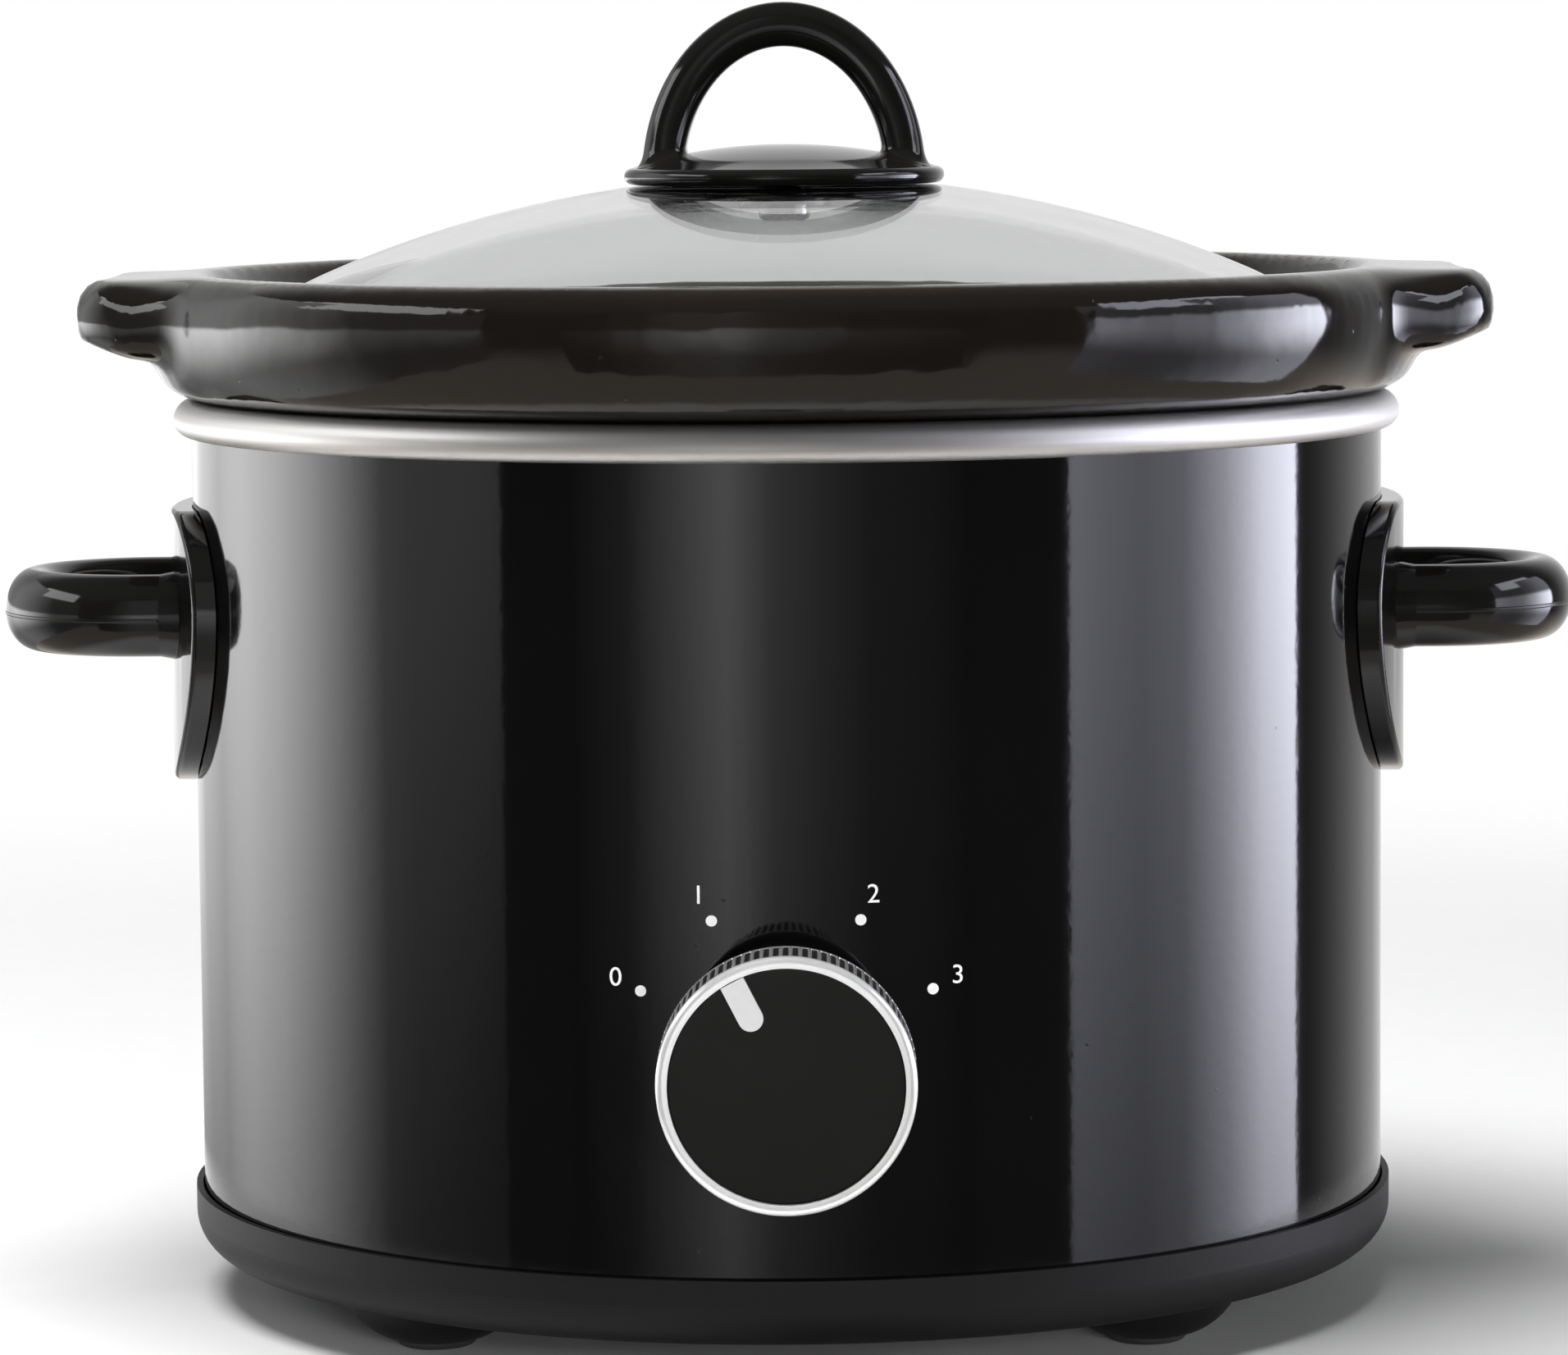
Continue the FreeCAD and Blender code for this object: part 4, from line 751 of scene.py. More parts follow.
def joined(pieces: Sequence[bpy.types.Object], name: str) -> bpy.types.Object:
    """Join meshes into one named piece.

    Args:
        pieces: the meshes.
        name: the name of the whole.

    Returns:
        The whole.
    """
    whole = make_active(pieces[0])
    for piece in pieces:
        piece.select_set(True)
    bpy.ops.object.join()
    whole.name = name
    whole.data.name = name
    return whole


def copied(node: str, name: str) -> bpy.types.Object:
    """Copy a CAD node's mesh into a piece of its own.

    Args:
        node: the CAD node.
        name: the new piece's name.

    Returns:
        The new piece.
    """
    piece = bpy.data.objects.new(name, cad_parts[node].data.copy())
    bpy.context.scene.collection.objects.link(piece)
    return piece


def dress(piece: bpy.types.Object, material: bpy.types.Material) -> None:
    """Give a piece one material all over.

    Args:
        piece: the piece, with or without materials.
        material: what it is made of.
    """
    if piece.data.materials:
        for index in range(len(piece.data.materials)):
            piece.data.materials[index] = material
    else:
        piece.data.materials.append(material)


def stand_in(piece: bpy.types.Object, node: str, body: Body,
             material: bpy.types.Material) -> None:
    """Dress a finished piece, put it on its body and let it stand for a CAD node.

    Args:
        piece: the finished piece.
        node: the CAD node that it stands for.
        body: the moving group that it rides on.
        material: what it is made of.
    """
    dress(piece, material)
    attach(piece, body.value)
    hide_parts(node)
    LOG.info("%s: %d faces", piece.name, len(piece.data.polygons))


def arc(centre: tuple[float, float], radius: float, start: float, end: float, steps: int) -> Outline:
    """Points on an arc of an outline.

    Args:
        centre: the arc's centre, as radius and height.
        radius: the arc's own radius.
        start: the angle of its first point, in degrees up from outwards.
        end: the angle of its last point.
        steps: how many stretches the arc is cut into.

    Returns:
        The points, as radius and height.
    """
    turns = [math.radians(start + (end - start) * step / steps) for step in range(steps + 1)]
    return [(centre[0] + radius * math.cos(turn), centre[1] + radius * math.sin(turn)) for turn in turns]


@dataclass
class Turning:
    """A piece turned about the upright axis: a ring, or with capped a solid with flat ends."""

    name: str
    outline: Outline
    around: int
    capped: bool = False
    weld: float = 1e-6

    def build(self) -> bpy.types.Object:
        """Extrude a circle along the outline, ring by ring.

        Returns:
            The turned piece.
        """
        deselect_all()
        (radius, height), *others = self.outline
        bpy.ops.mesh.primitive_circle_add(vertices=self.around, radius=radius, location=(0.0, 0.0, height),
                                          fill_type="NGON" if self.capped else "NOTHING")
        piece = settle(bpy.context.object)
        piece.name = self.name
        piece.data.name = self.name
        edit_all(piece)
        for next_radius, next_height in others:
            rise = (0.0, 0.0, next_height - height)
            bpy.ops.mesh.extrude_region_move(TRANSFORM_OT_translate={"value": rise})
            share = next_radius / radius
            bpy.ops.transform.resize(value=(share, share, 1.0), center_override=(0.0, 0.0, 0.0))
            radius, height = next_radius, next_height
        bpy.ops.mesh.select_all(action="SELECT")
        bpy.ops.mesh.remove_doubles(threshold=self.weld)
        bpy.ops.mesh.normals_make_consistent(inside=False)
        leave_edit()
        return piece


# The pieces

@dataclass(frozen=True)
class Dressed:
    """CAD nodes whose shape stays, with the finish that they share."""

    finish: Finish
    nodes: tuple[str, ...]

    def build(self) -> None:
        """Lay the finish on the nodes."""
        material = self.finish.material()
        for name in self.nodes:
            dress(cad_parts[name], material)
            LOG.info("%s: %s", name, self.finish.name)


@dataclass
class SpunWell:
    """The drawn pan with the bright bead, turned finely so that the bead mirrors cleanly."""

    floor: float = 0.056
    wall: float = 0.001
    corner: float = 0.012
    corner_steps: int = 8
    bottom_radius: float = 0.084
    top_radius: float = 0.0938
    flare: float = 0.0025
    flare_steps: int = 6
    bead_top: float = 0.1523
    bead_radius: float = 0.104
    roll: float = 0.0034
    curl: float = 0.0026
    front_bead_steps: int = 14
    rear_bead_steps: int = 8
    hub: float = 0.004
    around: int = 288
    smooth_angle: float = 30.0
    finish: Finish = SpunMetal("bead_metal")

    def side(self, gap: float, bead_steps: int) -> Outline:
        """One face of the sheet, from the floor's hub out to the edge of the curl.

        Args:
            gap: how far the face lies behind the front one.
            bead_steps: how many stretches each arc of the bead is cut into.

        Returns:
            The face's outline.
        """
        bend = (self.bottom_radius - self.corner, self.floor + self.corner)
        shoulder = (self.top_radius + self.flare, self.bead_top - self.flare)
        middle = self.bead_top - self.roll
        return [
            (self.hub, self.floor - gap),
            *arc(bend, self.corner + gap, -90, 0, self.corner_steps),
            *arc(shoulder, self.flare - gap, 180, 90, self.flare_steps),
            *arc((self.bead_radius - self.roll, middle), self.roll - gap, 90, 0, bead_steps),
            *arc((self.bead_radius - self.curl, middle), self.curl - gap, 0, -90, bead_steps)[1:]]

    def build(self) -> None:
        """Turn the pan and lay the metal on it."""
        front = self.side(0.0, self.front_bead_steps)
        rear = self.side(self.wall, self.rear_bead_steps)
        piece = Turning("spun_well", front + rear[::-1], self.around, capped=True).build()
        smooth(piece, self.smooth_angle)
        stand_in(piece, "heating_well", Body.BASE, self.finish.material())


@dataclass
class KnurledBezel:
    """The knob's bright ring, with crisp flutes that end in points before a plain rear land."""

    axis_height: float = 0.0523
    wrap_front: float = 0.101
    inner: float = 0.01828
    outer: float = 0.0201
    rear: float = 0.008
    front: float = 0.0204
    lip: float = 0.0012
    lip_steps: int = 8
    land: float = 0.0013
    flutes: int = 84
    flute_radius: float = 0.00055
    flute_depth: float = 0.00038
    flute_end: float = 0.00012
    parts: int = 8
    slack: float = 1e-6
    end_slack: float = 1e-5
    smooth_angle: float = 32.0
    finish: Finish = KnurledMetal("knurled_plate")

    @property
    def fluted(self) -> Span:
        """Where the flutes start and end, as distances from the wrap."""
        return self.rear + self.land, self.front - self.lip

    def outline(self) -> Outline:
        """The ring's section.

        Returns:
            Its points, as radius and distance from the wrap.
        """
        start, end = self.fluted
        bevel = self.flute_radius
        return [
            (self.inner, self.front), (self.inner, self.rear), (self.outer - bevel, self.rear),
            (self.outer, self.rear + bevel), (self.outer, start - self.flute_end), (self.outer, start),
            (self.outer, (start + end) / 2), (self.outer, end - self.flute_end),
            *arc((self.outer - self.lip, end), self.lip, 0, 90, self.lip_steps),
            (self.inner, self.front)]

    def depth(self, part: int) -> float:
        """How deep a flute is beside its middle.

        Args:
            part: how many parts of the pitch the place lies from the middle.

        Returns:
            The depth, which is 0 on the land between flutes.
        """
        off = part * math.tau * self.outer / (self.flutes * self.parts)
        if off >= self.flute_radius:
            return 0.0
        return max(0.0, self.flute_depth - self.flute_radius + math.sqrt(self.flute_radius ** 2 - off ** 2))

    def carve(self, piece: bpy.types.Object) -> None:
        """Draw in the rows of points that lie in the flutes.

        Args:
            piece: the plain ring, still round the upright axis.
        """
        pitch = math.tau / (self.flutes * self.parts)
        start, end = self.fluted
        for part in range(self.parts // 2):
            depth = self.depth(part)
            if depth == 0.0:
                continue
            chosen = []
            for x, y, height in (vertex.co for vertex in piece.data.vertices):
                place = round(math.atan2(y, x) / pitch) % self.parts
                inside = start - self.slack < height < end - self.end_slack
                outside = math.hypot(x, y) > self.outer - self.slack
                chosen.append(inside and outside and min(place, self.parts - place) == part)
            edit_points(piece, chosen)
            share = 1.0 - depth / self.outer
            bpy.ops.transform.resize(value=(share, share, 1.0), center_override=(0.0, 0.0, 0.0))
            leave_edit()

    def build(self) -> None:
        """Turn, flute and place the ring."""
        piece = Turning("knurled_bezel", self.outline(), self.flutes * self.parts).build()
        self.carve(piece)
        piece.rotation_euler = (math.pi / 2, 0.0, 0.0)
        piece.location = (0.0, -self.wrap_front, self.axis_height)
        settle(piece)
        smooth(piece, self.smooth_angle)
        stand_in(piece, "knob_ring", Body.KNOB, self.finish.material())


@dataclass
class FlaredHandles:
    """The two side handles, with the step at the root of each leg drawn in to a flare."""

    nodes: tuple[str, ...] = ("handle_right", "handle_left")
    legs: tuple[float, ...] = (-0.0195, 0.0195)
    height: float = 0.11648
    step_end: float = 0.10517
    bar_wide: float = 0.0052
    bar_tall: float = 0.0069
    step: float = 0.0011
    step_ring: Span = (1.13, 1.24)
    plate_near: float = 0.1005
    tip: float = 0.00003
    root: float = 0.00045
    slack: float = 0.00001
    finish: Finish = PolishedPlastic("handle_plastic", parting=0.1160)

    def draw_in(self, piece: bpy.types.Object, leg: float, reach: Span, left: float) -> None:
        """Shrink part of one leg's step towards the bar.

        Args:
            piece: the handle.
            leg: the leg's place across the handle.
            reach: how far from the pot's middle plane the part starts and ends.
            left: how far it may still stand out from the bar.
        """
        near, far = reach
        low, high = self.step_ring
        chosen = []
        for x, y, z in (vertex.co for vertex in piece.data.vertices):
            out = math.hypot((y - leg) / self.bar_wide, (z - self.height) / self.bar_tall)
            chosen.append(near < abs(x) < far and low < out < high)
        edit_points(piece, chosen)
        wide = (self.bar_wide + left) / (self.bar_wide + self.step)
        tall = (self.bar_tall + left) / (self.bar_tall + self.step)
        bpy.ops.transform.resize(value=(1.0, wide, tall), center_override=(0.0, leg, self.height))
        leave_edit()

    def build(self) -> None:
        """Copy, flare and dress both handles."""
        material = self.finish.material()
        for node in self.nodes:
            piece = copied(node, f"flared_{node}")
            for leg in self.legs:
                self.draw_in(piece, leg, (self.step_end - self.slack, self.step_end + self.slack), self.tip)
                self.draw_in(piece, leg, (self.plate_near, self.step_end - self.slack), self.root)
            stand_in(piece, node, Body.BASE, material)


@dataclass
class CastCrock:
    """The stoneware bowl with thick, rounded ears that flow out of the lip, as a slip-cast pot has them."""

    grid: float = 0.0017
    weld: float = 1e-6
    smoothing: float = 0.5
    all_passes: int = 4
    root_passes: int = 36
    root_turn: Span = (37.0, 29.0)
    root_height: Span = (0.1530, 0.1590)
    root_near: Span = (0.1015, 0.1055)
    root_far: Span = (0.1165, 0.1120)
    lip: float = 0.1125
    underside: float = 0.1690
    thicken: float = -0.0036
    thicken_reach: float = 0.008
    tip: float = 0.1150
    shorten: float = -0.0016
    shorten_reach: float = 0.009
    finish: Finish = Glaze("cast_glaze")

    def root_share(self, place: Vector) -> float:
        """How much a place belongs to the root of an ear.

        Args:
            place: a point of the bowl.

        Returns:
            1 on the root, 0 away from it, and between them where it fades.
        """
        turn = math.degrees(math.atan2(abs(place.y), abs(place.x)))
        out = math.hypot(place.x, place.y)
        measures = (turn, place.z, out, out)
        spans = (self.root_turn, self.root_height, self.root_near, self.root_far)
        shares = [(measure - none) / (full - none) for measure, (none, full) in zip(measures, spans)]
        return min(1.0, max(0.0, min(shares)))

    def pull(self, piece: bpy.types.Object, chosen: Sequence[bool], shift: Sequence[float],
             reach: float) -> None:
        """Move chosen points and draw their surroundings along.

        Args:
            piece: the bowl.
            chosen: whether each point is moved.
            shift: how far they move.
            reach: how far the surroundings follow.
        """
        edit_points(piece, chosen)
        bpy.ops.transform.translate(value=shift, use_proportional_edit=True, use_proportional_connected=True,
                                    proportional_edit_falloff="SMOOTH", proportional_size=reach)
        leave_edit()

    def shape_ears(self, piece: bpy.types.Object) -> None:
        """Thicken each ear downwards and take a little off its tip.

        Args:
            piece: the bowl.
        """
        for side in (1.0, -1.0):
            under = [x * side > 0 and math.hypot(x, y) > self.lip and z < self.underside
                     for x, y, z in (vertex.co for vertex in piece.data.vertices)]
            self.pull(piece, under, (0.0, 0.0, self.thicken), self.thicken_reach)
            tips = [vertex.co.x * side > self.tip for vertex in piece.data.vertices]
            self.pull(piece, tips, (self.shorten * side, 0.0, 0.0), self.shorten_reach)

    def smooth_ears(self, piece: bpy.types.Object) -> None:
        """Blend the ears' roots into the band, then even out the whole bowl.

        Args:
            piece: the bowl.
        """
        roots = piece.vertex_groups.new(name="roots")
        for vertex in piece.data.vertices:
            share = self.root_share(vertex.co)
            if share > 0.0:
                roots.add([vertex.index], share, "REPLACE")
        apply_modifier(piece, "SMOOTH", factor=self.smoothing, iterations=self.root_passes,
                       vertex_group=roots.name)
        apply_modifier(piece, "SMOOTH", factor=self.smoothing, iterations=self.all_passes)
        piece.vertex_groups.clear()

    def build(self) -> None:
        """Copy, grid, shape, smooth and glaze the bowl."""
        piece = copied("crock", "cast_crock")
        edit_all(piece)
        bpy.ops.mesh.remove_doubles(threshold=self.weld)
        leave_edit()
        apply_modifier(piece, "REMESH", mode="VOXEL", voxel_size=self.grid)
        self.shape_ears(piece)
        self.smooth_ears(piece)
        make_active(piece)
        bpy.ops.object.shade_smooth()
        piece.data.materials.clear()
        stand_in(piece, "crock", Body.CROCK, self.finish.material())


@dataclass(frozen=True)
class Station:
    """One cross-section of a bar that bends in the upright plane."""

    x: float
    z: float
    angle: float
    width: float
    depth: float

    @property
    def place(self) -> Vector:
        """The middle of the cross-section."""
        return Vector((self.x, 0.0, self.z))

    def mirrored(self) -> "Station":
        """The cross-section on the other side of the pot's axis."""
        return Station(-self.x, self.z, math.pi - self.angle, self.width, self.depth)


@dataclass
class ArchedLidHandle:
    """The lid's handle: a crowned flange, and an oval arch that grows out of it on flared feet."""

    bore: float = 0.00208
    bore_top: float = 0.1928
    recess: float = 0.0142
    recess_top: float = 0.1906
    recess_edge: float = 0.1888
    dome_round: float = 0.1983
    dome_steps: int = 4
    rim: float = 0.0258
    rim_height: float = 0.18763
    rim_round: float = 0.0014
    rim_steps: int = 16
    disc: float = 0.0225
    disc_height: float = 0.19163
    crown_top: float = 0.1943
    crown_flat: float = 0.0004
    crown_steps: int = 12
    around: int = 192
    arch_height: float = 0.1888
    outside: Span = (0.0240, 0.0295)
    inside: Span = (0.0170, 0.0220)
    outside_start: float = 3.6
    inside_start: float = 9.3
    depth: float = 0.013
    foot_depth: float = 0.004
    foot_fade: int = 5
    flare: float = 0.0014
    flare_steps: int = 8
    buried: float = -0.03
    arch_steps: int = 26
    corner: float = 0.0046
    corner_steps: int = 8
    smooth_angle: float = 40.0
    finish: Finish = PolishedPlastic("lid_handle_plastic")

    def flange_outline(self) -> Outline:
        """The flange's section, from the top of the screw's bore round to the crown.

        Returns:
            Its points, as radius and height.
        """
        dome = self.recess_edge - math.sqrt(self.dome_round ** 2 - self.recess ** 2)
        under = [math.degrees(math.acos(radius / self.dome_round)) for radius in (self.recess, self.rim)]
        rise = self.crown_top - self.disc_height
        crown = (self.disc ** 2 + rise ** 2) / (2 * rise)
        over = [math.degrees(math.acos(radius / crown)) for radius in (self.disc, self.crown_flat)]
        edge = (self.rim, self.rim_height + self.rim_round)
        return [
            (self.bore, self.bore_top), (self.bore, self.recess_top), (self.recess, self.recess_top),
            *arc((0.0, dome), self.dome_round, *under, self.dome_steps),
            *arc(edge, self.rim_round, -90, 90, self.rim_steps)[1:],
            *arc((0.0, self.crown_top - crown), crown, *over, self.crown_steps)]

    def station(self, share: float, grown: float) -> Station:
        """A cross-section of the arch.

        Args:
            share: how far it lies from the foot to the top.
            grown: how far it stands out past the plain bar all round.

        Returns:
            The cross-section.
        """
        ends = []
        for (half, rise), start in ((self.outside, self.outside_start), (self.inside, self.inside_start)):
            turn = math.radians(start + (90.0 - start) * share)
            ends.append(Vector((half * math.cos(turn), 0.0, self.arch_height + rise * math.sin(turn))))
        across = ends[0] - ends[1]
        middle = (ends[0] + ends[1]) / 2
        depth = self.depth + self.foot_depth * (1.0 - share) ** self.foot_fade
        return Station(middle.x, middle.z, math.atan2(across.z, across.x),
                       across.length + 2 * grown, depth + 2 * grown)

    def stations(self) -> list[Station]:
        """The arch's cross-sections.

        Returns:
            The cross-sections from the right foot over the top to the left foot.
        """
        rise = self.station(1.0, 0.0).z - self.station(0.0, 0.0).z
        half = [self.station(self.buried, self.flare)]
        for step in range(self.flare_steps):
            turn = math.pi / 2 * step / self.flare_steps
            share = self.flare * (1 - math.cos(turn)) / rise
            half.append(self.station(share, self.flare * (1 - math.sin(turn))))
        plain = self.flare / rise
        half += [self.station(plain + (1.0 - plain) * step / self.arch_steps, 0.0)
                 for step in range(self.arch_steps + 1)]
        return half + [station.mirrored() for station in half[-2::-1]]

    def arch(self) -> bpy.types.Object:
        """Draw a rounded section along the arch.

        Returns:
            The closed bar.
        """
        last, *others = self.stations()
        deselect_all()
        bpy.ops.mesh.primitive_plane_add(size=1.0)
        piece = bpy.context.object
        piece.scale = (last.width, last.depth, 1.0)
        edit_all(settle(piece))
        bpy.ops.mesh.bevel(offset=self.corner, segments=self.corner_steps, affect="VERTICES")
        bpy.ops.mesh.select_all(action="SELECT")
        bpy.ops.transform.rotate(value=last.angle, orient_axis="Y", center_override=(0.0, 0.0, 0.0))
        bpy.ops.transform.translate(value=last.place)
        for station in others:
            bpy.ops.mesh.extrude_region_move(TRANSFORM_OT_translate={"value": station.place - last.place})
            bpy.ops.transform.rotate(value=-last.angle, orient_axis="Y", center_override=station.place)
            bpy.ops.transform.resize(value=(station.width / last.width, station.depth / last.depth, 1.0),
                                     center_override=station.place)
            bpy.ops.transform.rotate(value=station.angle, orient_axis="Y", center_override=station.place)
            last = station
        bpy.ops.mesh.select_all(action="SELECT")
        bpy.ops.mesh.normals_make_consistent(inside=False)
        leave_edit()
        return piece

    def build(self) -> None:
        """Turn the flange, grow the arch out of it and lay the plastic on them."""
        piece = Turning("arched_lid_handle", self.flange_outline(), self.around, capped=True).build()
        arch = self.arch()
        apply_modifier(piece, "BOOLEAN", operation="UNION", solver="EXACT", object=arch)
        bpy.data.objects.remove(arch)
        smooth(piece, self.smooth_angle)
        stand_in(piece, "lid_handle", Body.LID, self.finish.material())


@dataclass
class DialPrint:
    """The dots and plain numerals printed on the wrap round the knob."""

    axis_height: float = 0.0523
    front: float = -0.1030
    dot_ring: float = 0.0256
    dot_radius: float = 0.00088
    dot_inset: float = 0.4
    dot_corners: int = 40
    numeral_ring: float = 0.0300
    numeral_size: float = 0.0042
    film: float = 0.00005
    film_offset: float = -0.4
    angles: tuple[float, ...] = (-63.0, -27.0, 27.0, 63.0)
    ink: Finish = PrintInk("print_ink")

    def spot(self, angle: float, ring: float) -> Vector:
        """A place in front of the wrap at an angle from upright and a distance from the dial's axis."""
        turn = math.radians(angle)
        return Vector((ring * math.sin(turn), self.front, self.axis_height + ring * math.cos(turn)))

    def dot(self, angle: float) -> bpy.types.Object:
        """One round mark.

        Args:
            angle: its place round the dial, in degrees from upright.

        Returns:
            The flat mark.
        """
        deselect_all()
        bpy.ops.mesh.primitive_circle_add(
            vertices=self.dot_corners, radius=self.dot_radius, fill_type="NGON",
            location=self.spot(angle, self.dot_ring), rotation=(math.pi / 2, 0.0, 0.0))
        piece = bpy.context.object
        edit_all(piece)
        bpy.ops.mesh.inset(thickness=self.dot_radius * self.dot_inset)
        leave_edit()
        return settle(piece)

    def numeral(self, digit: int, angle: float) -> bpy.types.Object:
        """One upright numeral outside its dot.

        Args:
            digit: the numeral.
            angle: its place round the dial, in degrees from upright.

        Returns:
            The flat numeral.
        """
        deselect_all()
        bpy.ops.object.text_add()
        text = bpy.context.object.data
        text.body = str(digit)
        text.size = self.numeral_size
        text.align_x = "CENTER"
        text.align_y = "CENTER"
        bpy.ops.object.convert(target="MESH")
        piece = bpy.context.object
        piece.location = self.spot(angle, self.numeral_ring)
        piece.rotation_euler = (math.pi / 2, 0.0, 0.0)
        return settle(piece)

    def lay(self, piece: bpy.types.Object, material: bpy.types.Material) -> None:
        """Lay a flat print on the wrap, with the thickness and the look of the ink.

        Args:
            piece: the flat print.
            material: the ink.
        """
        apply_modifier(piece, "SHRINKWRAP", wrap_method="PROJECT", use_project_y=True,
                       use_positive_direction=True, use_negative_direction=True,
                       target=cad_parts["outer_shell"], offset=self.film)
        apply_modifier(piece, "SOLIDIFY", thickness=self.film, offset=self.film_offset)
        dress(piece, material)
        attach(piece, Body.BASE.value)
        LOG.info("%s: %d faces", piece.name, len(piece.data.polygons))

    def build(self) -> None:
        """Print the dots and the numerals."""
        dots = [self.dot(angle) for angle in self.angles]
        numerals = [self.numeral(digit, angle) for digit, angle in enumerate(self.angles)]
        material = self.ink.material()
        self.lay(joined(dots, "dial_dots"), material)
        self.lay(joined(numerals, "dial_numerals"), material)


# The studio

@dataclass(frozen=True)
class Card:
    """A glowing panel that stands round the object, between two angles and two heights.

    Angles run from the front towards +X. Each stop is a place across the width and the glow there.
    """

    name: str
    start: float
    end: float
    low: float
    high: float
    stops: tuple[Span, ...]
    distance: float = 1.5
    tint: Colour = (1.0, 1.0, 1.0, 1.0)
    foot_share: float = 0.2
    foot_fade: Span = (-0.55, 0.0)
    head_share: float = 1.0
    head_fade: Span = (-0.04, 0.03)
    lights_floor: bool = True

    def glow(self) -> bpy.types.Material:
        """The panel's light, which changes across its width and fades at its foot and head.

        Returns:
            The glowing material.
        """
        made = bpy.data.materials.new(self.name)
        graph = Graph(made)
        across, up, _ = graph.axes()
        most = max(level for _, level in self.stops)
        shades = [(place, tuple(level / most * part for part in self.tint[:3]) + (1.0,))
                  for place, level in self.stops]
        fall = self.foot_share + (1.0 - self.foot_share) * graph.step(up, *self.foot_fade)
        fall = fall * (1.0 - (1.0 - self.head_share) * graph.step(up, *self.head_fade))
        colour = graph.ramp(across * 0.5 + 0.5, shades)
        graph.finish(graph.node("Emission", sockets={"Color": colour, "Strength": fall * most}))
        return made

    def build(self) -> None:
        """Stand the panel up, facing the object."""
        middle = math.radians((self.start + self.end) / 2)
        half = math.radians((self.end - self.start) / 2)
        deselect_all()
        bpy.ops.mesh.primitive_plane_add(size=2.0)
        panel = bpy.context.object
        panel.name = self.name
        panel.scale = (self.distance * math.tan(half), (self.high - self.low) / 2, 1.0)
        panel.rotation_euler = (math.pi / 2, 0.0, middle)
        panel.location = (self.distance * math.sin(middle), -self.distance * math.cos(middle),
                          (self.low + self.high) / 2)
        dress(panel, self.glow())
        panel.visible_camera = False
        panel.visible_diffuse = self.lights_floor


COOL: Colour = (0.86, 0.87, 1.0, 1.0)


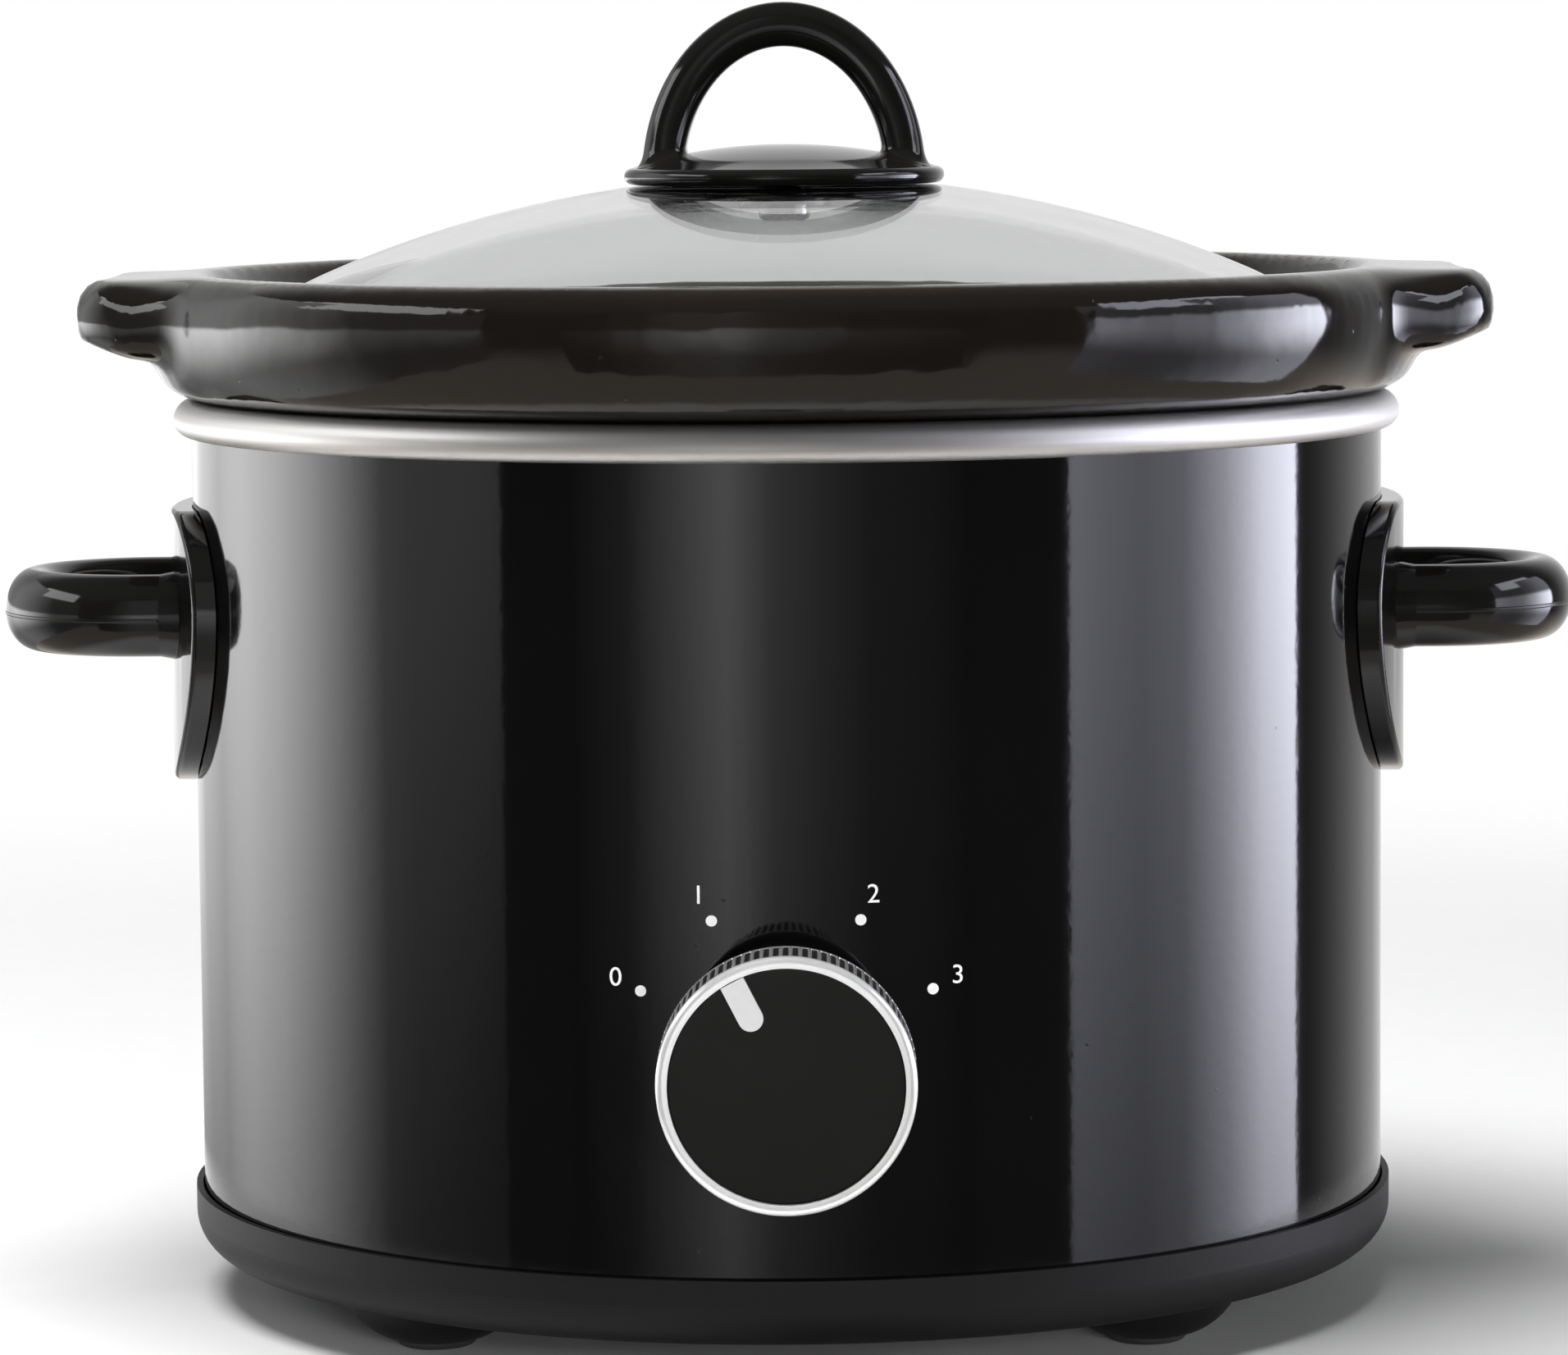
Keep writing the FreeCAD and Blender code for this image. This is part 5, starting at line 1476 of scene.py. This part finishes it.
@dataclass
class Studio:
    """Pale floor, dim room, glowing panels and the camera."""

    camera_place: tuple[float, float, float] = (0.0073, -1.050, 0.2055)
    camera_turn: float = 0.44
    camera_tilt: float = 5.56
    camera_roll: float = 0.5
    focal_pixels: float = 7511.0
    photo_width: int = 1912
    sensor: float = 36.0
    floor_radius: float = 4.0
    floor_corners: int = 96
    floor_drop: float = 0.0002
    paper: Finish = FloorPaper("floor_paper")
    ambient: float = 0.03
    room_level: float = 0.03
    wall: Span = (0.35, 1.05)
    wall_head: Span = (0.85, 0.55)
    wall_level: float = 0.85
    ceiling: Span = (0.35, 0.75)
    ceiling_level: float = 0.08
    ground: Span = (-0.2, -0.45)
    ground_level: float = 0.45
    ground_tint: Colour = (1.0, 0.90, 0.80, 1.0)
    aim: tuple[float, float, float] = (0.0, 0.0, 0.08)
    key_power: float = 30.0
    key_place: tuple[float, float, float] = (-0.27, -0.12, 1.50)
    key_size: float = 0.9
    fill_power: float = 26.0
    fill_place: tuple[float, float, float] = (0.25, -1.50, 0.14)
    fill_size: float = 0.6
    cards: tuple[Card, ...] = (
        Card("panel_right", start=53.1, end=111.0, low=-0.9, high=1.1,
             stops=((0.0, 3.5), (0.13, 2.7), (0.28, 2.1), (0.44, 2.5), (0.61, 5.7), (0.79, 11.0),
                    (1.0, 12.5)),
             tint=COOL, head_share=0.15, head_fade=(0.2, 0.35), lights_floor=False),
        Card("panel_left", start=-168.0, end=-54.0, low=-0.9, high=1.1,
             stops=((0.0, 2.2), (0.24, 1.9), (0.34, 2.25), (0.43, 4.2), (0.47, 4.6), (0.505, 4.8),
                    (0.54, 4.5), (0.57, 4.0), (0.61, 3.0), (0.65, 1.9), (0.695, 0.85), (0.75, 0.68),
                    (1.0, 0.65)),
             head_share=0.25),
        Card("panel_front", start=-40.0, end=34.0, low=-0.9, high=1.1,
             stops=((0.0, 0.02), (0.18, 0.2), (0.30, 0.85), (0.41, 1.6), (0.51, 0.62), (0.61, 0.34),
                    (0.72, 0.13), (0.85, 0.11), (1.0, 0.02)),
             head_share=0.2, head_fade=(0.02, 0.09), lights_floor=False),
        Card("box_left", start=-105.0, end=-62.0, low=0.75, high=1.25, stops=((0.0, 3.4), (1.0, 3.4)),
             foot_share=1.0, lights_floor=False),
        Card("box_right", start=62.0, end=100.0, low=0.75, high=1.25, stops=((0.0, 4.5), (1.0, 4.5)),
             tint=COOL, foot_share=1.0, lights_floor=False),
    )

    def camera(self) -> None:
        """Set the camera where the photograph was taken from."""
        data = bpy.data.cameras.new("camera")
        data.sensor_fit = "HORIZONTAL"
        data.sensor_width = self.sensor
        data.lens = self.focal_pixels / self.photo_width * self.sensor
        camera = bpy.data.objects.new("camera", data)
        bpy.context.scene.collection.objects.link(camera)
        turn = Matrix.Rotation(math.radians(self.camera_turn), 4, "Z")
        tilt = Matrix.Rotation(math.radians(90.0 - self.camera_tilt), 4, "X")
        roll = Matrix.Rotation(math.radians(-self.camera_roll), 4, "Z")
        camera.matrix_world = Matrix.Translation(self.camera_place) @ turn @ tilt @ roll
        bpy.context.scene.camera = camera

    def room(self) -> None:
        """White to the camera, and a dim room with a lighter back wall to everything else."""
        world = bpy.data.worlds.new("room")
        graph = Graph(world)
        _, back, up = graph.axes(graph.node("TexCoord", output="Generated"))
        wall = graph.step(back, *self.wall) * graph.step(up, *self.wall_head)
        ceiling = graph.step(up, *self.ceiling)
        ground = graph.step(up, *self.ground)
        level = self.room_level + self.wall_level * wall
        level = level + self.ceiling_level * ceiling + self.ground_level * ground
        seen = graph.node("LightPath", output="Is Camera Ray")
        soft = graph.node("LightPath", output="Is Diffuse Ray")
        strength = seen + soft * self.ambient + (1.0 - seen - soft) * level
        colour = graph.mix(ground * (1.0 - seen), grey(1.0), self.ground_tint)
        graph.finish(graph.node("Background", sockets={"Color": colour, "Strength": strength}), "OutputWorld")
        bpy.context.scene.world = world

    def floor(self) -> None:
        """Lay the paper under the object."""
        deselect_all()
        bpy.ops.mesh.primitive_circle_add(vertices=self.floor_corners, radius=self.floor_radius,
                                          fill_type="TRIFAN", location=(0.0, 0.0, -self.floor_drop))
        floor = bpy.context.object
        floor.name = "floor"
        dress(floor, self.paper.material())

    def lamp(self, name: str, place: Sequence[float], size: float, power: float) -> None:
        """A square soft light aimed at the object, which no gloss mirrors.

        Args:
            name: the light's name.
            place: where it stands.
            size: the length of its side.
            power: its output in watts.
        """
        data = bpy.data.lights.new(name, "AREA")
        data.size = size
        data.energy = power
        light = bpy.data.objects.new(name, data)
        bpy.context.scene.collection.objects.link(light)
        light.location = place
        aim = Vector(self.aim) - light.location
        light.rotation_euler = aim.to_track_quat("-Z", "Y").to_euler()
        light.visible_glossy = False
        light.visible_transmission = False

    def build(self) -> None:
        """Set up everything that isn't part of the object."""
        bpy.context.scene.view_settings.view_transform = "Standard"
        self.camera()
        self.room()
        self.floor()
        self.lamp("key", self.key_place, self.key_size, self.key_power)
        self.lamp("fill", self.fill_place, self.fill_size, self.fill_power)
        for card in self.cards:
            card.build()


DRESSED = (
    Dressed(GlossEnamel("black_enamel"), ("outer_shell",)),
    Dressed(MouldedPlastic("base_plastic", dark=grey(0.004), light=grey(0.009), rough=0.42, shine=0.2),
            ("base_pan",)),
    Dressed(ClearGlass("lid_glass_clear"), ("lid_glass",)),
    Dressed(MouldedPlastic("knob_plastic", rough=0.30), ("knob_body",)),
    Dressed(PolishedPlastic("dial_gloss", rough=0.08, shine=0.3), ("knob_face",)),
    Dressed(BrightMetal("pointer_silver", dark=grey(0.56), light=grey(0.68), rough=0.3, metallic=0.3),
            ("knob_pointer",)),
    Dressed(Rubber("foot_rubber"),
            ("foot_rear_right", "foot_rear_left", "foot_front_left", "foot_front_right")),
    Dressed(Rubber("gasket_rubber", light=grey(0.06)), ("lid_gasket",)),
    Dressed(SpangledSteel("plated_steel"),
            ("handle_screws", "handle_washers", "switch_nut", "strap_screw", "strap_nut", "center_stud",
             "stud_washer", "stud_nut", "band_strap")),
    Dressed(BrightMetal("stainless_steel", rough=0.18), ("lid_washer", "lid_screw")),
    Dressed(BrightMetal("spring_steel", dark=grey(0.30), light=grey(0.46), rough=0.24),
            ("knob_clip", "fuse_clip")),
    Dressed(BrightMetal("shaft_metal", rough=0.26), ("switch_shaft",)),
    Dressed(MouldedPlastic("switch_case", dark=(0.42, 0.38, 0.30, 1.0), light=(0.52, 0.48, 0.39, 1.0)),
            ("switch_body",)),
    Dressed(BrightMetal("tab_brass", dark=(0.55, 0.37, 0.14, 1.0), light=(0.80, 0.60, 0.28, 1.0), rough=0.22),
            ("switch_tabs",)),
    Dressed(WovenCloth("element_cloth"), ("heating_band",)),
    Dressed(BrightMetal("fuse_metal", rough=0.3), ("thermal_fuse",)),
    Dressed(WovenCloth("lead_sleeve", dark=(0.55, 0.53, 0.48, 1.0), light=(0.85, 0.83, 0.78, 1.0),
                       pitch=1600.0),
            ("lead_low", "lead_high", "lead_common")),
    Dressed(MouldedPlastic("gland_plastic"), ("cord_gland", "gland_nut")),
)


def main() -> None:
    """Dress the CAD nodes, build the pieces that replace some of them, print the dial and light it all."""
    logging.basicConfig(level=logging.INFO, format="%(message)s")
    for group in DRESSED:
        group.build()
    SpunWell().build()
    KnurledBezel().build()
    FlaredHandles().build()
    CastCrock().build()
    ArchedLidHandle().build()
    DialPrint().build()
    Studio().build()


if __name__ == "__main__":
    main()
